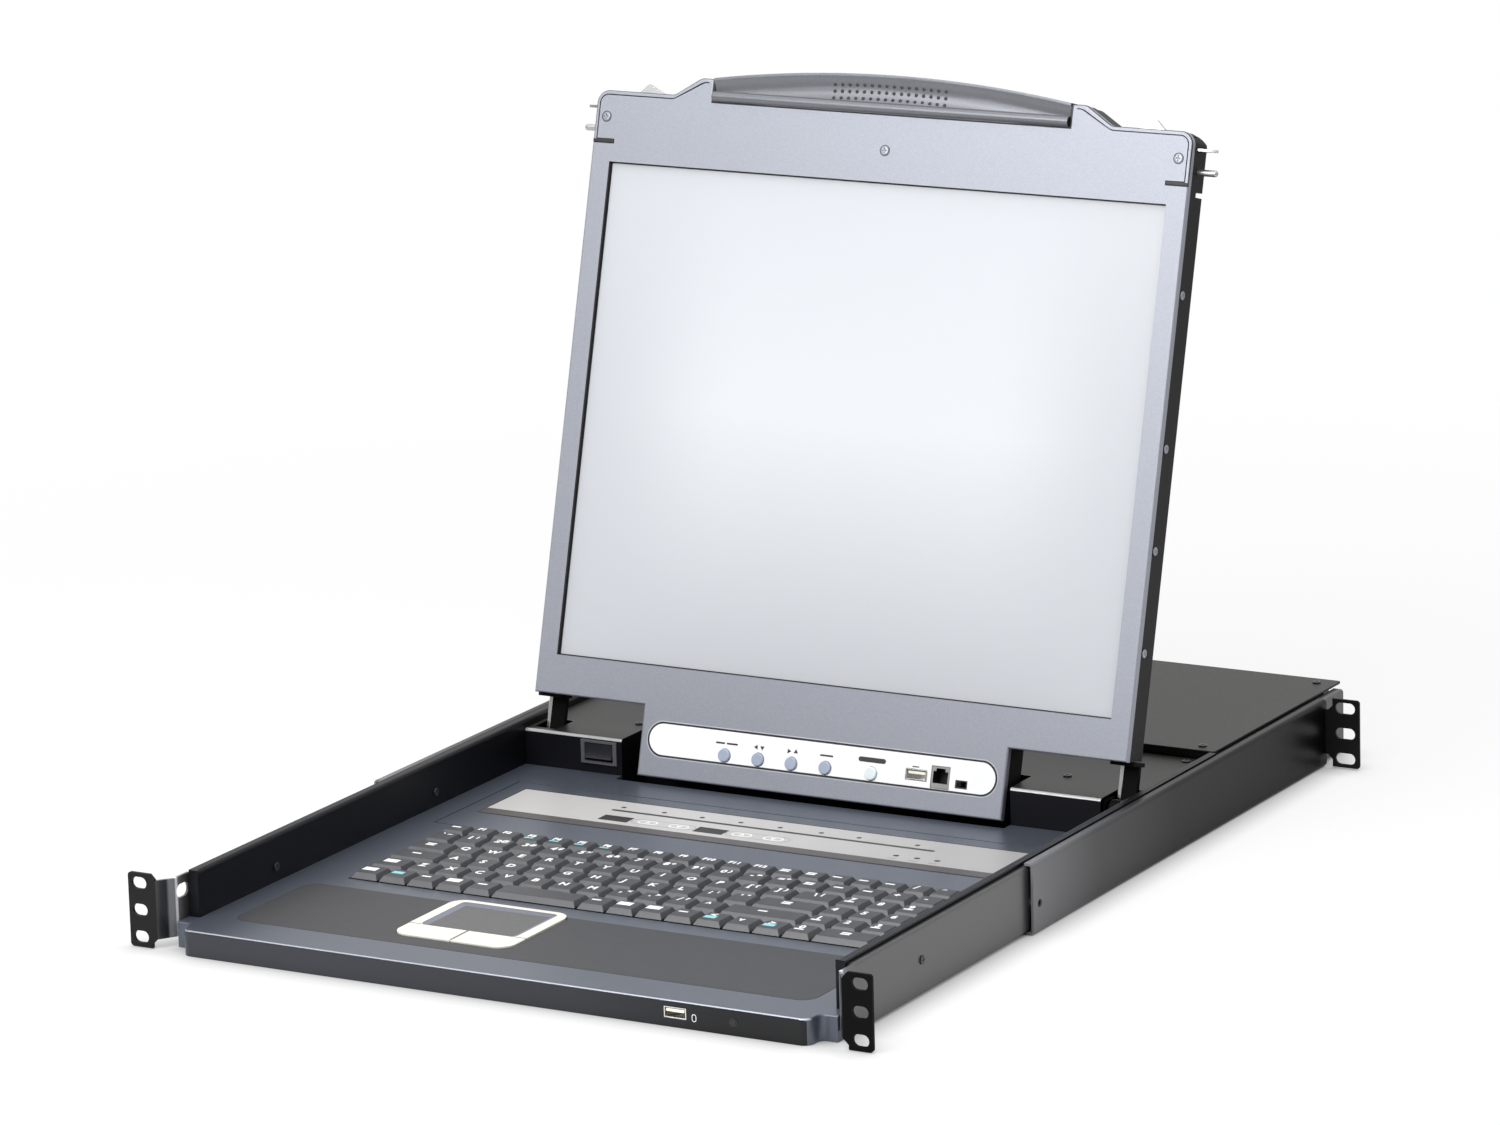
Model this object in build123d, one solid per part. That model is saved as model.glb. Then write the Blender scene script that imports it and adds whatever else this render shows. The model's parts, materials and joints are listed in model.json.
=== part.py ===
from build123d import *
import os
from math import cos, radians, sin

os.makedirs("parts", exist_ok=True)

# Rack interface, millimetres. The origin is the centre of the front hole pattern, on the face
# of the ears that meets the rack posts. X is to the right, Y to the rear and Z up.
rack_hole_span = 465.1
rack_hole_pitch = 15.875
ear_depth_span = 616.6
ear_margin = 7.45
ear_height = 43.6
ear_sheet = 2.0
ear_corner_cut = 3.0
ear_slot_length = 10.0
ear_slot_width = 7.0
rear_slot_length = 13.0
floor_level = -22.0

# Outer rails, fixed to the rack
rail_inset = 16.55
joggle_step = 6.0
rail_sheet = 1.5
rail_lip = 5.0
rail_low = -20.2
rail_high = 18.2
rail_end = 650.0
rail_lip_start = 22.0
joggle_end = 8.0
neck_low = -16.3
lock_hole_length = 12.0
lock_hole_height = 8.0
rail_screw_front = 99.2
rail_screw_pitch = 300.8

# Rear brackets, which slide on the outer rails to suit the depth of the rack
bracket_gap = 2.0
bracket_sheet = 1.5
bracket_front = 226.0
bracket_clearance = 0.3
bracket_lip = 4.1
bracket_hole_radius = 2.4
bracket_hole_inset = 8.1
bracket_hole_z = -4.8
rear_ear_step = 4.5
rear_ear_margin = 9.45
rear_ear_neck = 14.0
rear_ear_corner_cut = 3.0
rear_ear_height = 43.0

# Ball slides
ball_diameter = 4.0
ball_clearance = 0.05
balls_in_row = 4
cage_sheet = 0.8
cage_web = 0.7
cage_front = 230.0
cage_length = 170.0
cage_gap = 0.3
inner_rail_sheet = 1.2
inner_rail_end = 600.0
inner_rail_front = 22.0

# Drawer tray, bent from one sheet
tray_sheet = 1.2
slide_space = 6.8
tray_flange = 4.8
tray_top = 20.5
tray_front = 20.0
tray_rear = 478.0

# Keyboard deck, a moulded panel in the tray
deck_top = -7.0
deck_thickness = 2.5
deck_gap = 0.3
lip_front = -6.0
lip_inset = 3.5
lip_corner = 6.0
tab_overlap = 1.0
tab_front = 7.0
tab_rear = 18.5
deck_rear = 376.1
tongue_bay_front = 368.0

# Keyboard
key_pitch = 19.0
key_row_pitch = 19.5
key_top_row_pitch = 17.0
keyboard_units = 18
keyboard_front = 121.0
key_cap_top = -3.5
key_cap_height = 3.4
key_gap = 0.8
key_side_draft = 2.4
stem_size = 4.0
stem_clearance = 0.2
stem_length = 5.6
key_plate_thickness = 3.5
key_plate_margin = 6.0

# Touchpad, left of the middle
pad_left = -90.0
pad_right = -13.0
pad_front = 37.0
pad_rear = 109.0
pad_recess = 1.3
pad_corner = 10.0
pad_window_left = -83.0
pad_window_right = -20.0
pad_window_front = 58.0
pad_window_rear = 105.0
pad_split = -50.5
pad_button_gap = 0.4
pad_button_lift = 0.8
pad_window_corner = 3.0
pad_rise = 1.0
pad_sunk = 0.2

# Palm rest inlay and status panel
palm_half = 188.0
palm_front = 23.0
palm_rear = 105.0
palm_corner = 10.0
inlay_depth = 0.8
panel_half = 177.0
panel_front = 271.0
panel_rear = 327.5
panel_depth = 1.0
panel_windows = (-92.8, -28.1)
panel_window_size = (18.4, 8.8)
panel_window_y = 292.2
groove_half = 189.0
groove_front = 241.5
groove_rear = 340.0
groove_stub = 17.0
groove_width = 1.0
groove_depth = 0.6

# Cover over the rear of the drawer, with an apron on each side of the display's tongue
apron_front = 376.5
cover_sheet = 1.2
cover_top = 15.6
left_bay_gap = 14.0
right_bay_gap = 3.0
right_hinge_gap = 2.5
bay_rear = 405.0
hinge_slot_front = 381.9
hinge_slot_rear = 403.0

# Hinge and display. Lid coordinates: X across, Y up the screen from its lower edge,
# Z out of the bezel's face.
hinge_y = 384.8
hinge_z = 9.0
open_angle = 105.55
axis_up = -51.0
axis_in = -11.0
lid_side_gap = 5.0
lid_bottom = -24.0
lid_top = 345.3
lid_thickness = 22.0
lid_wall = 2.0
lid_corner = 8.0
bezel_thickness = 4.0
tongue_half = 124.0
tongue_bottom = -66.9
tongue_round = 16.2
shoulder_width = 9.6
shoulder_slope = 17.6
shoulder_top = 356.5
screen_width = 377.0
screen_height = 302.0
screen_recess = 3.4
module_depth = 8.0
module_margin = 6.0
handle_half = 120.8
handle_seat = 342.7
handle_end_top = 357.0
handle_mid_top = 366.0
handle_proud = 1.0
handle_back = -20.0
handle_bar_radius = 3.3
handle_scoop_radius = 16.0
handle_scoop_depth = 2.6
handle_rim = 1.4
arm_inset = 5.5
arm_width = 12.0
arm_thickness = 3.4
knuckle_radius = 4.6
hinge_pin_radius = 2.0
hinge_pin_clearance = 0.05

# Control strip on the tongue
strip_half = 117.7
strip_middle = -43.5
strip_height = 19.0
strip_recess = 1.0
button_height = -48.6
button_places = (-65.0, -41.9, -19.1, 4.0)
power_button_place = 35.1
button_radius = 4.0
button_clearance = 0.3
button_proud = 1.8
board_front = -7.0
usb_place = 65.3
phone_place = 81.3
switch_place = 95.6
port_clearance = 0.3
usb_size = (14.0, 6.4)
usb_wall = 0.6
usb_depth = 13.0
phone_size = (12.0, 13.0)
phone_mouth = (9.8, 7.0)
phone_depth = 12.0
slide_travel = 3.0

# Seam that sets off the rim of the bezel's upper corners, and the step in the rear cover's sides
seam_inset = 2.2
seam_width = 0.7
seam_depth = 0.8
rim_bar_length = 14.3
rim_bar_low = 313.6
rim_bar_high = 315.2
cover_inset = 0.3
cover_step = 0.6
cover_step_at = -11.5
corner_slope_front = -14.0
corner_slope_drop = 6.0
side_notch_low = 308.0
side_notch_high = 311.0
side_notch_deep = 6.0

# Release catches at the top corners of the display
catch_top_gap = 6.9
catch_side_gap = 7.5
catch_width = 36.0
catch_height = 22.4
catch_reach = 12.7
catch_pin_rise = 6.5
catch_blade_drop = 2.9
catch_depth = -11.5
catch_sheet = 3.0
catch_pin_radius = 2.0
catch_blade_half = 4.0
catch_blade_sheet = 1.6
catch_out = 4.5
catch_in = 6.0
lever_inset = 2.0
lever_length = 18.0
lever_peak_at = 12.0
lever_rise = 6.0

# Power switch in the left apron
rocker_x = -153.5
rocker_z = 6.0
rocker_frame = (25.0, 14.6)
rocker_body = (22.6, 13.0)
rocker_well = (19.6, 11.6)
rocker_paddle = (19.0, 9.2)
rocker_pivot_in = 5.5
rocker_tilt = 7.0

# Switch chassis at the rear, fixed between the outer rails
chassis_gap = 10.5
chassis_front = 482.0
chassis_rear = 655.0
chassis_sheet = 1.2
chassis_top = 19.0
box_cover_gap = 6.0
box_cover_front = 480.5
box_cover_overhang = 5.0
box_cover_sheet = 1.5
tie_plate_inset = 15.0
tie_plate_sheet = 2.0
port_side_inset = 39.0
computer_port_count = 8
computer_port_pitch = 34.0

# Boards and power supply, on square posts
board_sheet = 1.6
post_size = 6.0
post_inset = 10.0
main_board_front_gap = 18.0
main_board_rear_gap = 15.0
main_board_side_gap = 24.0
main_board_lift = 4.0
chip_size = 40.0
chip_height = 2.4
supply_width = 55.0
supply_height = 28.0
supply_inset = 9.0
supply_rear_gap = 24.0
supply_board_gap = 10.0
strip_board_left_gap = 15.0
strip_board_right_gap = 12.0
strip_board_half = 15.0
strip_post_inset = 3.0
strip_post_radius = 2.0
display_board_size = (150.0, 100.0)
display_board_centre = (-15.0, 110.0)
display_board_lift = 2.0


def block(x_low, x_high, y_low, y_high, z_low, z_high):
    size = Box(x_high - x_low, y_high - y_low, z_high - z_low)
    return Pos((x_low + x_high) / 2, (y_low + y_high) / 2, (z_low + z_high) / 2) * size


def prism(points, direction, length):
    return extrude(make_face(Polyline(*points, close=True)), amount=length, dir=direction)


def along_y(profile, y_low, y_high):
    points = [(x, y_low, z) for x, z in profile]
    return prism(points, (0, 1, 0), y_high - y_low)


def cut_slot(origin, x_dir, z_dir, length, width, depth):
    place = Plane(origin=origin, x_dir=x_dir, z_dir=z_dir).location
    return place * extrude(SlotOverall(length, width), amount=depth / 2, both=True)


def rod_x(x_low, x_high, y, z, radius):
    return Pos((x_low + x_high) / 2, y, z) * Rot(0, 90, 0) * Cylinder(radius, x_high - x_low)


def rod_y(x, y_low, y_high, z, radius):
    return Pos(x, (y_low + y_high) / 2, z) * Rot(90, 0, 0) * Cylinder(radius, y_high - y_low)


def rod_z(x, y, z_low, z_high, radius):
    return Pos(x, y, (z_low + z_high) / 2) * Cylinder(radius, z_high - z_low)


def rounded_plate(x_low, x_high, y_low, y_high, z_low, z_high, radius):
    plate = block(x_low, x_high, y_low, y_high, z_low, z_high)
    return fillet(plate.edges().filter_by(Axis.Z), radius)


def mirrored(shape):
    return mirror(shape, about=Plane.YZ)


def c_channel(lip_x, web_outer, web_inner, z_low, z_high, sheet):
    return [
        (lip_x, z_high), (web_outer, z_high), (web_outer, z_low), (lip_x, z_low),
        (lip_x, z_low + sheet), (web_inner, z_low + sheet),
        (web_inner, z_high - sheet), (lip_x, z_high - sheet),
    ]


nodes = {}


def add_pair(name, right_shape):
    nodes["right_" + name] = right_shape
    nodes["left_" + name] = mirrored(right_shape)


# Widths, from the rack holes inwards
rail_hole_x = rack_hole_span / 2
ear_outer = rail_hole_x + ear_margin
rail_outer = rail_hole_x - rail_inset
ear_root = rail_outer + joggle_step
rail_web_inner = rail_outer - rail_sheet
bracket_outer = rail_outer + bracket_gap + bracket_sheet
rear_ear_inner = bracket_outer + rear_ear_step
rear_ear_outer = rail_hole_x + rear_ear_margin
tray_outer = rail_web_inner - slide_space
tray_half = tray_outer - tray_sheet
lip_half = tray_half - lip_inset
tab_half = tray_outer + tray_flange + tab_overlap
lid_half = tray_half - lid_side_gap
arm_right = tray_half - arm_inset
arm_left = arm_right - arm_width
chassis_half = rail_web_inner - chassis_gap
box_cover_half = rail_outer - box_cover_gap
box_cover_rear = chassis_rear + box_cover_overhang
left_apron_inner = -tongue_half - left_bay_gap
right_apron_inner = tongue_half + right_bay_gap
right_apron_outer = arm_left - right_hinge_gap
shoulder_half = handle_half + shoulder_width
shoulder_foot = shoulder_half + shoulder_slope

# Places of the catches on the display
catch_high = lid_top - catch_top_gap
catch_low = catch_high - catch_height
catch_outer = lid_half - catch_side_gap
catch_inner = catch_outer - catch_width
catch_tip = lid_half + catch_reach
catch_pin_up = catch_low + catch_pin_rise
catch_blade_up = catch_high - catch_blade_drop
lever_left = catch_inner + lever_inset
lever_right = lever_left + lever_length
lever_peak = lever_left + lever_peak_at
lever_top = lid_top + lever_rise

# Values shared by the sliding parts
rail_middle = (rail_high + rail_low) / 2
tray_floor = floor_level + tray_sheet
ball_track = ball_diameter + 2 * ball_clearance
inner_lip_top = rail_high - rail_sheet - ball_track
inner_lip_low = 2 * rail_middle - inner_lip_top
ball_high = rail_high - rail_sheet - ball_track / 2
cage_web_outer = rail_web_inner - cage_gap
cage_web_inner = cage_web_outer - cage_web
inner_rail_outer = cage_web_inner - cage_gap
ball_x = (tray_outer + rail_web_inner) / 2
pin_closed_y = hinge_y - (catch_pin_up - axis_up)
pin_closed_z = hinge_z + axis_in - catch_depth


# Outer rail: ear, joggle and C-shaped rail bent from one sheet
def outer_rail():
    lip_x = rail_outer - rail_sheet - rail_lip
    profile = c_channel(lip_x, rail_outer, rail_web_inner, rail_low, rail_high, rail_sheet)
    rail = along_y(profile, rail_lip_start, rail_end)
    rail = fillet(rail.edges().filter_by(Axis.Y).group_by(Axis.X)[-1], rail_sheet * 1.3)
    web = block(rail_web_inner, rail_outer, joggle_end, rail_lip_start, neck_low, rail_high)
    joggle_points = [
        (ear_root + 2, -ear_sheet), (ear_root + 2, 0), (ear_root + 0.6, 0),
        (rail_outer, joggle_end), (rail_web_inner, joggle_end), (ear_root - 0.6, -ear_sheet),
    ]
    joggle = prism([(x, y, neck_low) for x, y in joggle_points], (0, 0, 1), rail_high - neck_low)
    half = ear_height / 2
    ear_profile = [
        (ear_root, neck_low), (ear_root + ear_corner_cut, neck_low - ear_corner_cut),
        (ear_root + ear_corner_cut, -half), (ear_outer, -half), (ear_outer, half),
        (ear_root + ear_corner_cut, half), (ear_root, half - ear_corner_cut),
    ]
    ear = along_y(ear_profile, -ear_sheet, 0)
    ear = fillet(ear.edges().filter_by(Axis.Y).group_by(Axis.X)[-1], 2.0)
    shape = rail + web + joggle + ear
    for step in (-1, 0, 1):
        place = (rail_hole_x, -ear_sheet / 2, step * rack_hole_pitch)
        shape -= cut_slot(place, (1, 0, 0), (0, -1, 0), ear_slot_length, ear_slot_width, 2 * ear_sheet)
    lock_y = pin_closed_y - catch_pin_radius - 0.5 + lock_hole_length / 2
    lock_place = (rail_outer, lock_y, pin_closed_z)
    shape -= cut_slot(lock_place, (0, 1, 0), (1, 0, 0), lock_hole_length, lock_hole_height, 10)
    return shape


add_pair("outer_rail", outer_rail())


# Rear bracket: a channel that wraps the outer rail and ends in the rear ear
def rear_bracket():
    web_inner = bracket_outer - bracket_sheet
    top = rail_high + bracket_clearance + bracket_sheet
    low = rail_low - bracket_clearance - bracket_sheet
    profile = c_channel(web_inner - bracket_lip, bracket_outer, web_inner, low, top, bracket_sheet)
    rear = ear_depth_span + bracket_sheet
    channel = along_y(profile, bracket_front, rear)
    channel = fillet(channel.edges().filter_by(Axis.Y).group_by(Axis.X)[-1], bracket_sheet * 1.7)
    half = rear_ear_height / 2
    neck = rear_ear_neck
    cut = rear_ear_corner_cut
    right_side = [
        (rear_ear_inner - cut, neck), (rear_ear_inner, neck + cut), (rear_ear_inner, half),
        (rear_ear_outer, half), (rear_ear_outer, -half), (rear_ear_inner, -half),
        (rear_ear_inner, -neck - cut), (rear_ear_inner - cut, -neck),
    ]
    ear_profile = [(web_inner, neck)] + right_side + [(web_inner, -neck)]
    ear = along_y(ear_profile, ear_depth_span, rear)
    ear = fillet(ear.edges().filter_by(Axis.Y).group_by(Axis.X)[-1], 2.0)
    shape = channel + ear
    for step in (-1, 0, 1):
        place = (rail_hole_x, ear_depth_span, step * rack_hole_pitch)
        shape -= cut_slot(place, (1, 0, 0), (0, -1, 0), rear_slot_length, ear_slot_width, 10)
    return shape - rod_x(web_inner - 1, bracket_outer + 1, bracket_front + bracket_hole_inset,
                         bracket_hole_z, bracket_hole_radius)


add_pair("rear_bracket", rear_bracket())


# Slide member on the drawer wall, with lips that carry the balls
def inner_rail():
    profile = c_channel(inner_rail_outer, tray_outer, tray_outer + inner_rail_sheet,
                        inner_lip_low, inner_lip_top, inner_rail_sheet)
    return along_y(profile, inner_rail_front, inner_rail_end)


add_pair("inner_rail", inner_rail())


# Ball cage: a thin channel with a row of balls above and below
def ball_cage():
    rear = cage_front + cage_length
    strip_inner = tray_outer + 2 * cage_gap
    low_ball = 2 * rail_middle - ball_high
    half = cage_sheet / 2
    cage = block(cage_web_inner, cage_web_outer, cage_front, rear, low_ball - half, ball_high + half)
    for level in (ball_high, low_ball):
        cage += block(strip_inner, cage_web_outer, cage_front, rear, level - half, level + half)
    balls = []
    pitch = cage_length / balls_in_row
    for level in (ball_high, low_ball):
        for count in range(balls_in_row):
            y = cage_front + (count + 0.5) * pitch
            cage -= rod_z(ball_x, y, level - 1, level + 1, ball_diameter / 2 + 0.1)
            balls.append(Pos(ball_x, y, level) * Sphere(ball_diameter / 2))
    return Compound(children=[cage.solid()] + [ball.solid() for ball in balls])


add_pair("ball_cage", ball_cage())


# Drawer tray: floor, side walls and top flanges from one sheet, with a low rear wall
def keyboard_tray():
    flange = tray_outer + tray_flange
    under = tray_top - tray_sheet
    profile = [
        (-flange, tray_top), (-tray_half, tray_top), (-tray_half, tray_floor),
        (tray_half, tray_floor), (tray_half, tray_top), (flange, tray_top), (flange, under),
        (tray_outer, under), (tray_outer, floor_level), (-tray_outer, floor_level),
        (-tray_outer, under), (-flange, under),
    ]
    tray = along_y(profile, tray_front, tray_rear)
    bends = []
    for edge in tray.edges().filter_by(Axis.Y):
        middle = edge.center()
        if abs(abs(middle.X) - tray_half) < 0.01 and middle.Z > 0:
            bends.append(edge)
    tray = fillet(bends, tray_sheet * 1.8)
    apron_half = lip_half - deck_thickness - deck_gap
    front_edge = lip_front + deck_thickness + deck_gap
    front_floor = block(-apron_half, apron_half, front_edge, tray_front, floor_level, tray_floor)
    front_corners = front_floor.edges().filter_by(Axis.Z).group_by(Axis.Y)[0]
    tray += fillet(front_corners, lip_corner - deck_thickness)
    tray += block(-tray_half, tray_half, tray_rear - tray_sheet, tray_rear, tray_floor,
                  cover_top - cover_sheet)
    for side in (-1, 1):
        x_low, x_high = sorted((side * tray_half, side * flange))
        tray += block(x_low, x_high, tray_front - tray_sheet, tray_front, floor_level, tray_top)
    cable_half = 60.0
    return tray - block(-cable_half, cable_half, tray_rear - 5, tray_rear + 5, -14, 6)


nodes["keyboard_tray"] = keyboard_tray()


# Keyboard rows from the front: the widths of the keys in units
key_rows = [
    [1, 1, 1, 1, 1, 3, 1, 1, 1, 1, 1, 1, 1, 1, 2],
    [1.25] + [1] * 11 + [2.75] + [1] * 3,
    [1.75] + [1] * 11 + [2.25] + [1] * 3,
    [1.5] + [1] * 12 + [1.5] + [1] * 3,
    [1] * 18,
    [keyboard_units / 20] * 20,
]
keyboard_half = keyboard_units * key_pitch / 2
keyboard_rear = keyboard_front + 5 * key_row_pitch + key_top_row_pitch
key_plate_top = deck_top - deck_thickness
key_plate_low = key_plate_top - key_plate_thickness


def key_places(row):
    widths = key_rows[row]
    depth = key_row_pitch if row < 5 else key_top_row_pitch
    y = keyboard_front + row * key_row_pitch + depth / 2
    x = -keyboard_half
    places = []
    for width in widths:
        places.append((x + width * key_pitch / 2, y, width * key_pitch - key_gap, depth - key_gap))
        x += width * key_pitch
    return places


# One key: a cap with sloped sides on a square stem
def key(x, y, width, depth):
    low = Plane((x, y, key_cap_top - key_cap_height))
    high = Plane((x, y + 0.4, key_cap_top))
    base = low * Rectangle(width, depth)
    crown = high * Rectangle(width - 2 * key_side_draft, depth - 2 * key_side_draft)
    cap = loft([base, crown])
    half = stem_size / 2
    bottom = key_cap_top - key_cap_height
    stem = block(x - half, x + half, y - half, y + half, bottom - stem_length, bottom)
    return cap + stem


for row in range(len(key_rows)):
    keys = [key(*place).solid() for place in key_places(row)]
    nodes["key_row_" + str(row + 1)] = Compound(children=keys)


# Guide plate under the keys, one square hole for each stem
def key_guide_plate():
    plate = block(-keyboard_half - key_plate_margin, keyboard_half + key_plate_margin,
                  keyboard_front - key_plate_margin, keyboard_rear + key_plate_margin,
                  key_plate_low, key_plate_top)
    half = stem_size / 2 + stem_clearance
    holes = []
    for row in range(len(key_rows)):
        for x, y, width, depth in key_places(row):
            holes.append(block(x - half, x + half, y - half, y + half,
                               key_plate_low - 1, key_plate_top + 1))
    return plate - holes


nodes["key_guide_plate"] = key_guide_plate()


# Keyboard deck: front lip with stepped corners, key opening, recesses, ribs down to the tray
def pad_outline(grow):
    return rounded_plate(pad_left - grow, pad_right + grow, pad_front - grow, pad_rear + grow,
                         deck_top - pad_recess, deck_top + 2, pad_corner + grow)


def front_lip():
    points = [
        (-tab_half, tab_front), (-lip_half, tab_front), (-lip_half, lip_front),
        (lip_half, lip_front), (lip_half, tab_front), (tab_half, tab_front),
        (tab_half, tab_rear), (-tab_half, tab_rear),
    ]
    outline = make_face(Polyline(*points, close=True))
    corners = [v for v in outline.vertices() if abs(v.Y - lip_front) < 0.01]
    outline = fillet(corners, lip_corner)
    steps = []
    for vertex in outline.vertices():
        if abs(vertex.Y - tab_front) < 0.01 and abs(abs(vertex.X) - lip_half) < 0.01:
            steps.append(vertex)
    outline = fillet(steps, lip_corner - 2)
    inside = offset(outline, amount=-deck_thickness)
    height = deck_top - floor_level
    shell = Pos(0, 0, floor_level) * extrude(outline, amount=height)
    top_edges = []
    for edge in shell.edges():
        middle = edge.center()
        if middle.Z > deck_top - 0.01 and middle.Y < tab_front + 1:
            top_edges.append(edge)
    shell = fillet(top_edges, 1.5)
    shell -= Pos(0, 0, floor_level) * extrude(inside, amount=height - deck_thickness)
    back_half = lip_half - deck_thickness
    return shell - block(-back_half, back_half, tab_front, tab_rear + 1, floor_level,
                         deck_top - deck_thickness)


# Groove that frames the status panel, open in the middle of its front
def panel_groove():
    low, high = deck_top - groove_depth, deck_top + 1
    half = groove_half
    width = groove_width
    groove = block(-half, half, groove_front, groove_rear, low, high)
    groove -= block(-half + width, half - width, groove_front + width, groove_rear - width, low, high)
    gap = half - groove_stub
    return groove - block(-gap, gap, groove_front - 1, groove_front + width + 1, low, high)


def keyboard_deck():
    under = deck_top - deck_thickness
    side = tray_half - deck_gap
    deck = block(-side, side, tab_rear - 1, deck_rear, under, deck_top) + front_lip()
    deck -= block(left_apron_inner, right_apron_inner, tongue_bay_front, deck_rear + 1,
                  under - 1, deck_top + 1)
    rib_outer = keyboard_half + 2.5 * key_plate_margin + 4
    for x in (-rib_outer, rib_outer):
        deck += block(x - 1, x + 1, tray_front + 5, tongue_bay_front - 5, tray_floor, under)
    rib_y = keyboard_rear + 2 * key_plate_margin
    deck += block(-rib_outer, rib_outer, rib_y, rib_y + 2, tray_floor, under)
    margin = 0.6
    deck -= block(-keyboard_half - margin, keyboard_half + margin, keyboard_front - margin,
                  keyboard_rear + margin, under - 1, deck_top + 1)
    deck -= rounded_plate(-palm_half, palm_half, palm_front, palm_rear, deck_top - inlay_depth,
                          deck_top + 1, palm_corner)
    deck -= pad_outline(0.3)
    deck -= block(-panel_half, panel_half, panel_front, panel_rear, deck_top - panel_depth, deck_top + 1)
    deck -= panel_groove()
    deck -= usb_hole_front()
    return deck - rod_y(led_x, lip_front - 1, lip_front + 6, led_z, led_radius + 0.1)


front_usb_x = 119.8
front_usb_z = -13.8
led_x = 156.2
led_z = -14.6
led_radius = 1.5


def usb_hole_front():
    half_width = usb_size[0] / 2 + port_clearance
    half_height = usb_size[1] / 2 + port_clearance
    return block(front_usb_x - half_width, front_usb_x + half_width, lip_front - 1, lip_front + 4,
                 front_usb_z - half_height, front_usb_z + half_height)


nodes["keyboard_deck"] = keyboard_deck()

inlay_gap = 0.2
nodes["palm_rest_inlay"] = rounded_plate(
    -palm_half + inlay_gap, palm_half - inlay_gap, palm_front + inlay_gap, palm_rear - inlay_gap,
    deck_top - inlay_depth, deck_top + 0.1, palm_corner - inlay_gap) - pad_outline(0.5)


# Status panel with two number displays
def window_block(x, grow, low, high):
    half_width = panel_window_size[0] / 2 + grow
    half_depth = panel_window_size[1] / 2 + grow
    return block(x - half_width, x + half_width, panel_window_y - half_depth,
                 panel_window_y + half_depth, low, high)


panel_low = deck_top - panel_depth
status_panel = block(-panel_half + inlay_gap, panel_half - inlay_gap, panel_front + inlay_gap,
                     panel_rear - inlay_gap, panel_low, deck_top + 0.2)
for place in panel_windows:
    status_panel -= window_block(place, 0.1, panel_low - 1, deck_top + 1)
nodes["status_panel"] = status_panel
windows = [window_block(place, 0, panel_low, deck_top + 0.1).solid() for place in panel_windows]
nodes["status_windows"] = Compound(children=windows)


# Touchpad: frame, sensor pad and two buttons in front of it
pad_floor = deck_top - pad_recess
pad_face = deck_top + pad_rise


def touchpad_ring():
    ring = rounded_plate(pad_left, pad_right, pad_front, pad_rear, pad_floor, pad_face, pad_corner)
    window = rounded_plate(pad_window_left, pad_window_right, pad_window_front, pad_window_rear,
                           pad_floor - 1, pad_face + 1, pad_window_corner)
    return ring - window


ring = touchpad_ring()
button_line = pad_window_front - pad_button_gap / 2
nodes["touchpad_frame"] = ring - block(pad_left - 1, pad_right + 1, pad_front - 1,
                                       button_line + pad_button_gap / 2, pad_floor - 1, pad_face + 1)
nodes["touchpad"] = rounded_plate(
    pad_window_left + inlay_gap, pad_window_right - inlay_gap, pad_window_front + inlay_gap,
    pad_window_rear - inlay_gap, pad_floor, deck_top - pad_sunk, pad_window_corner - inlay_gap)
button_low = pad_floor + pad_button_lift
nodes["touchpad_left_button"] = ring & block(
    pad_left - 1, pad_split - pad_button_gap / 2, pad_front - 1, button_line - pad_button_gap / 2,
    button_low, pad_face)
nodes["touchpad_right_button"] = ring & block(
    pad_split + pad_button_gap / 2, pad_right + 1, pad_front - 1, button_line - pad_button_gap / 2,
    button_low, pad_face)


# USB socket, mouth towards +Z of its own frame at the origin: shell, back and contact tongue
def usb_socket(depth):
    width, height = usb_size
    shell = block(-width / 2, width / 2, -height / 2, height / 2, -depth, 0)
    shell -= block(-width / 2 + usb_wall, width / 2 - usb_wall, -height / 2 + usb_wall,
                   height / 2 - usb_wall, -depth + 2, 1)
    tongue = block(-width / 2 + 1.4, width / 2 - 1.4, 0.4, 2.0, -depth + 2, -1.5)
    return shell + tongue


front_face = Plane(origin=(front_usb_x, lip_front, front_usb_z), x_dir=(1, 0, 0), z_dir=(0, -1, 0))
nodes["front_usb_port"] = front_face.location * usb_socket(usb_depth)
nodes["power_led"] = rod_y(led_x, lip_front - 0.3, lip_front + 8, led_z, led_radius)


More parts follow.
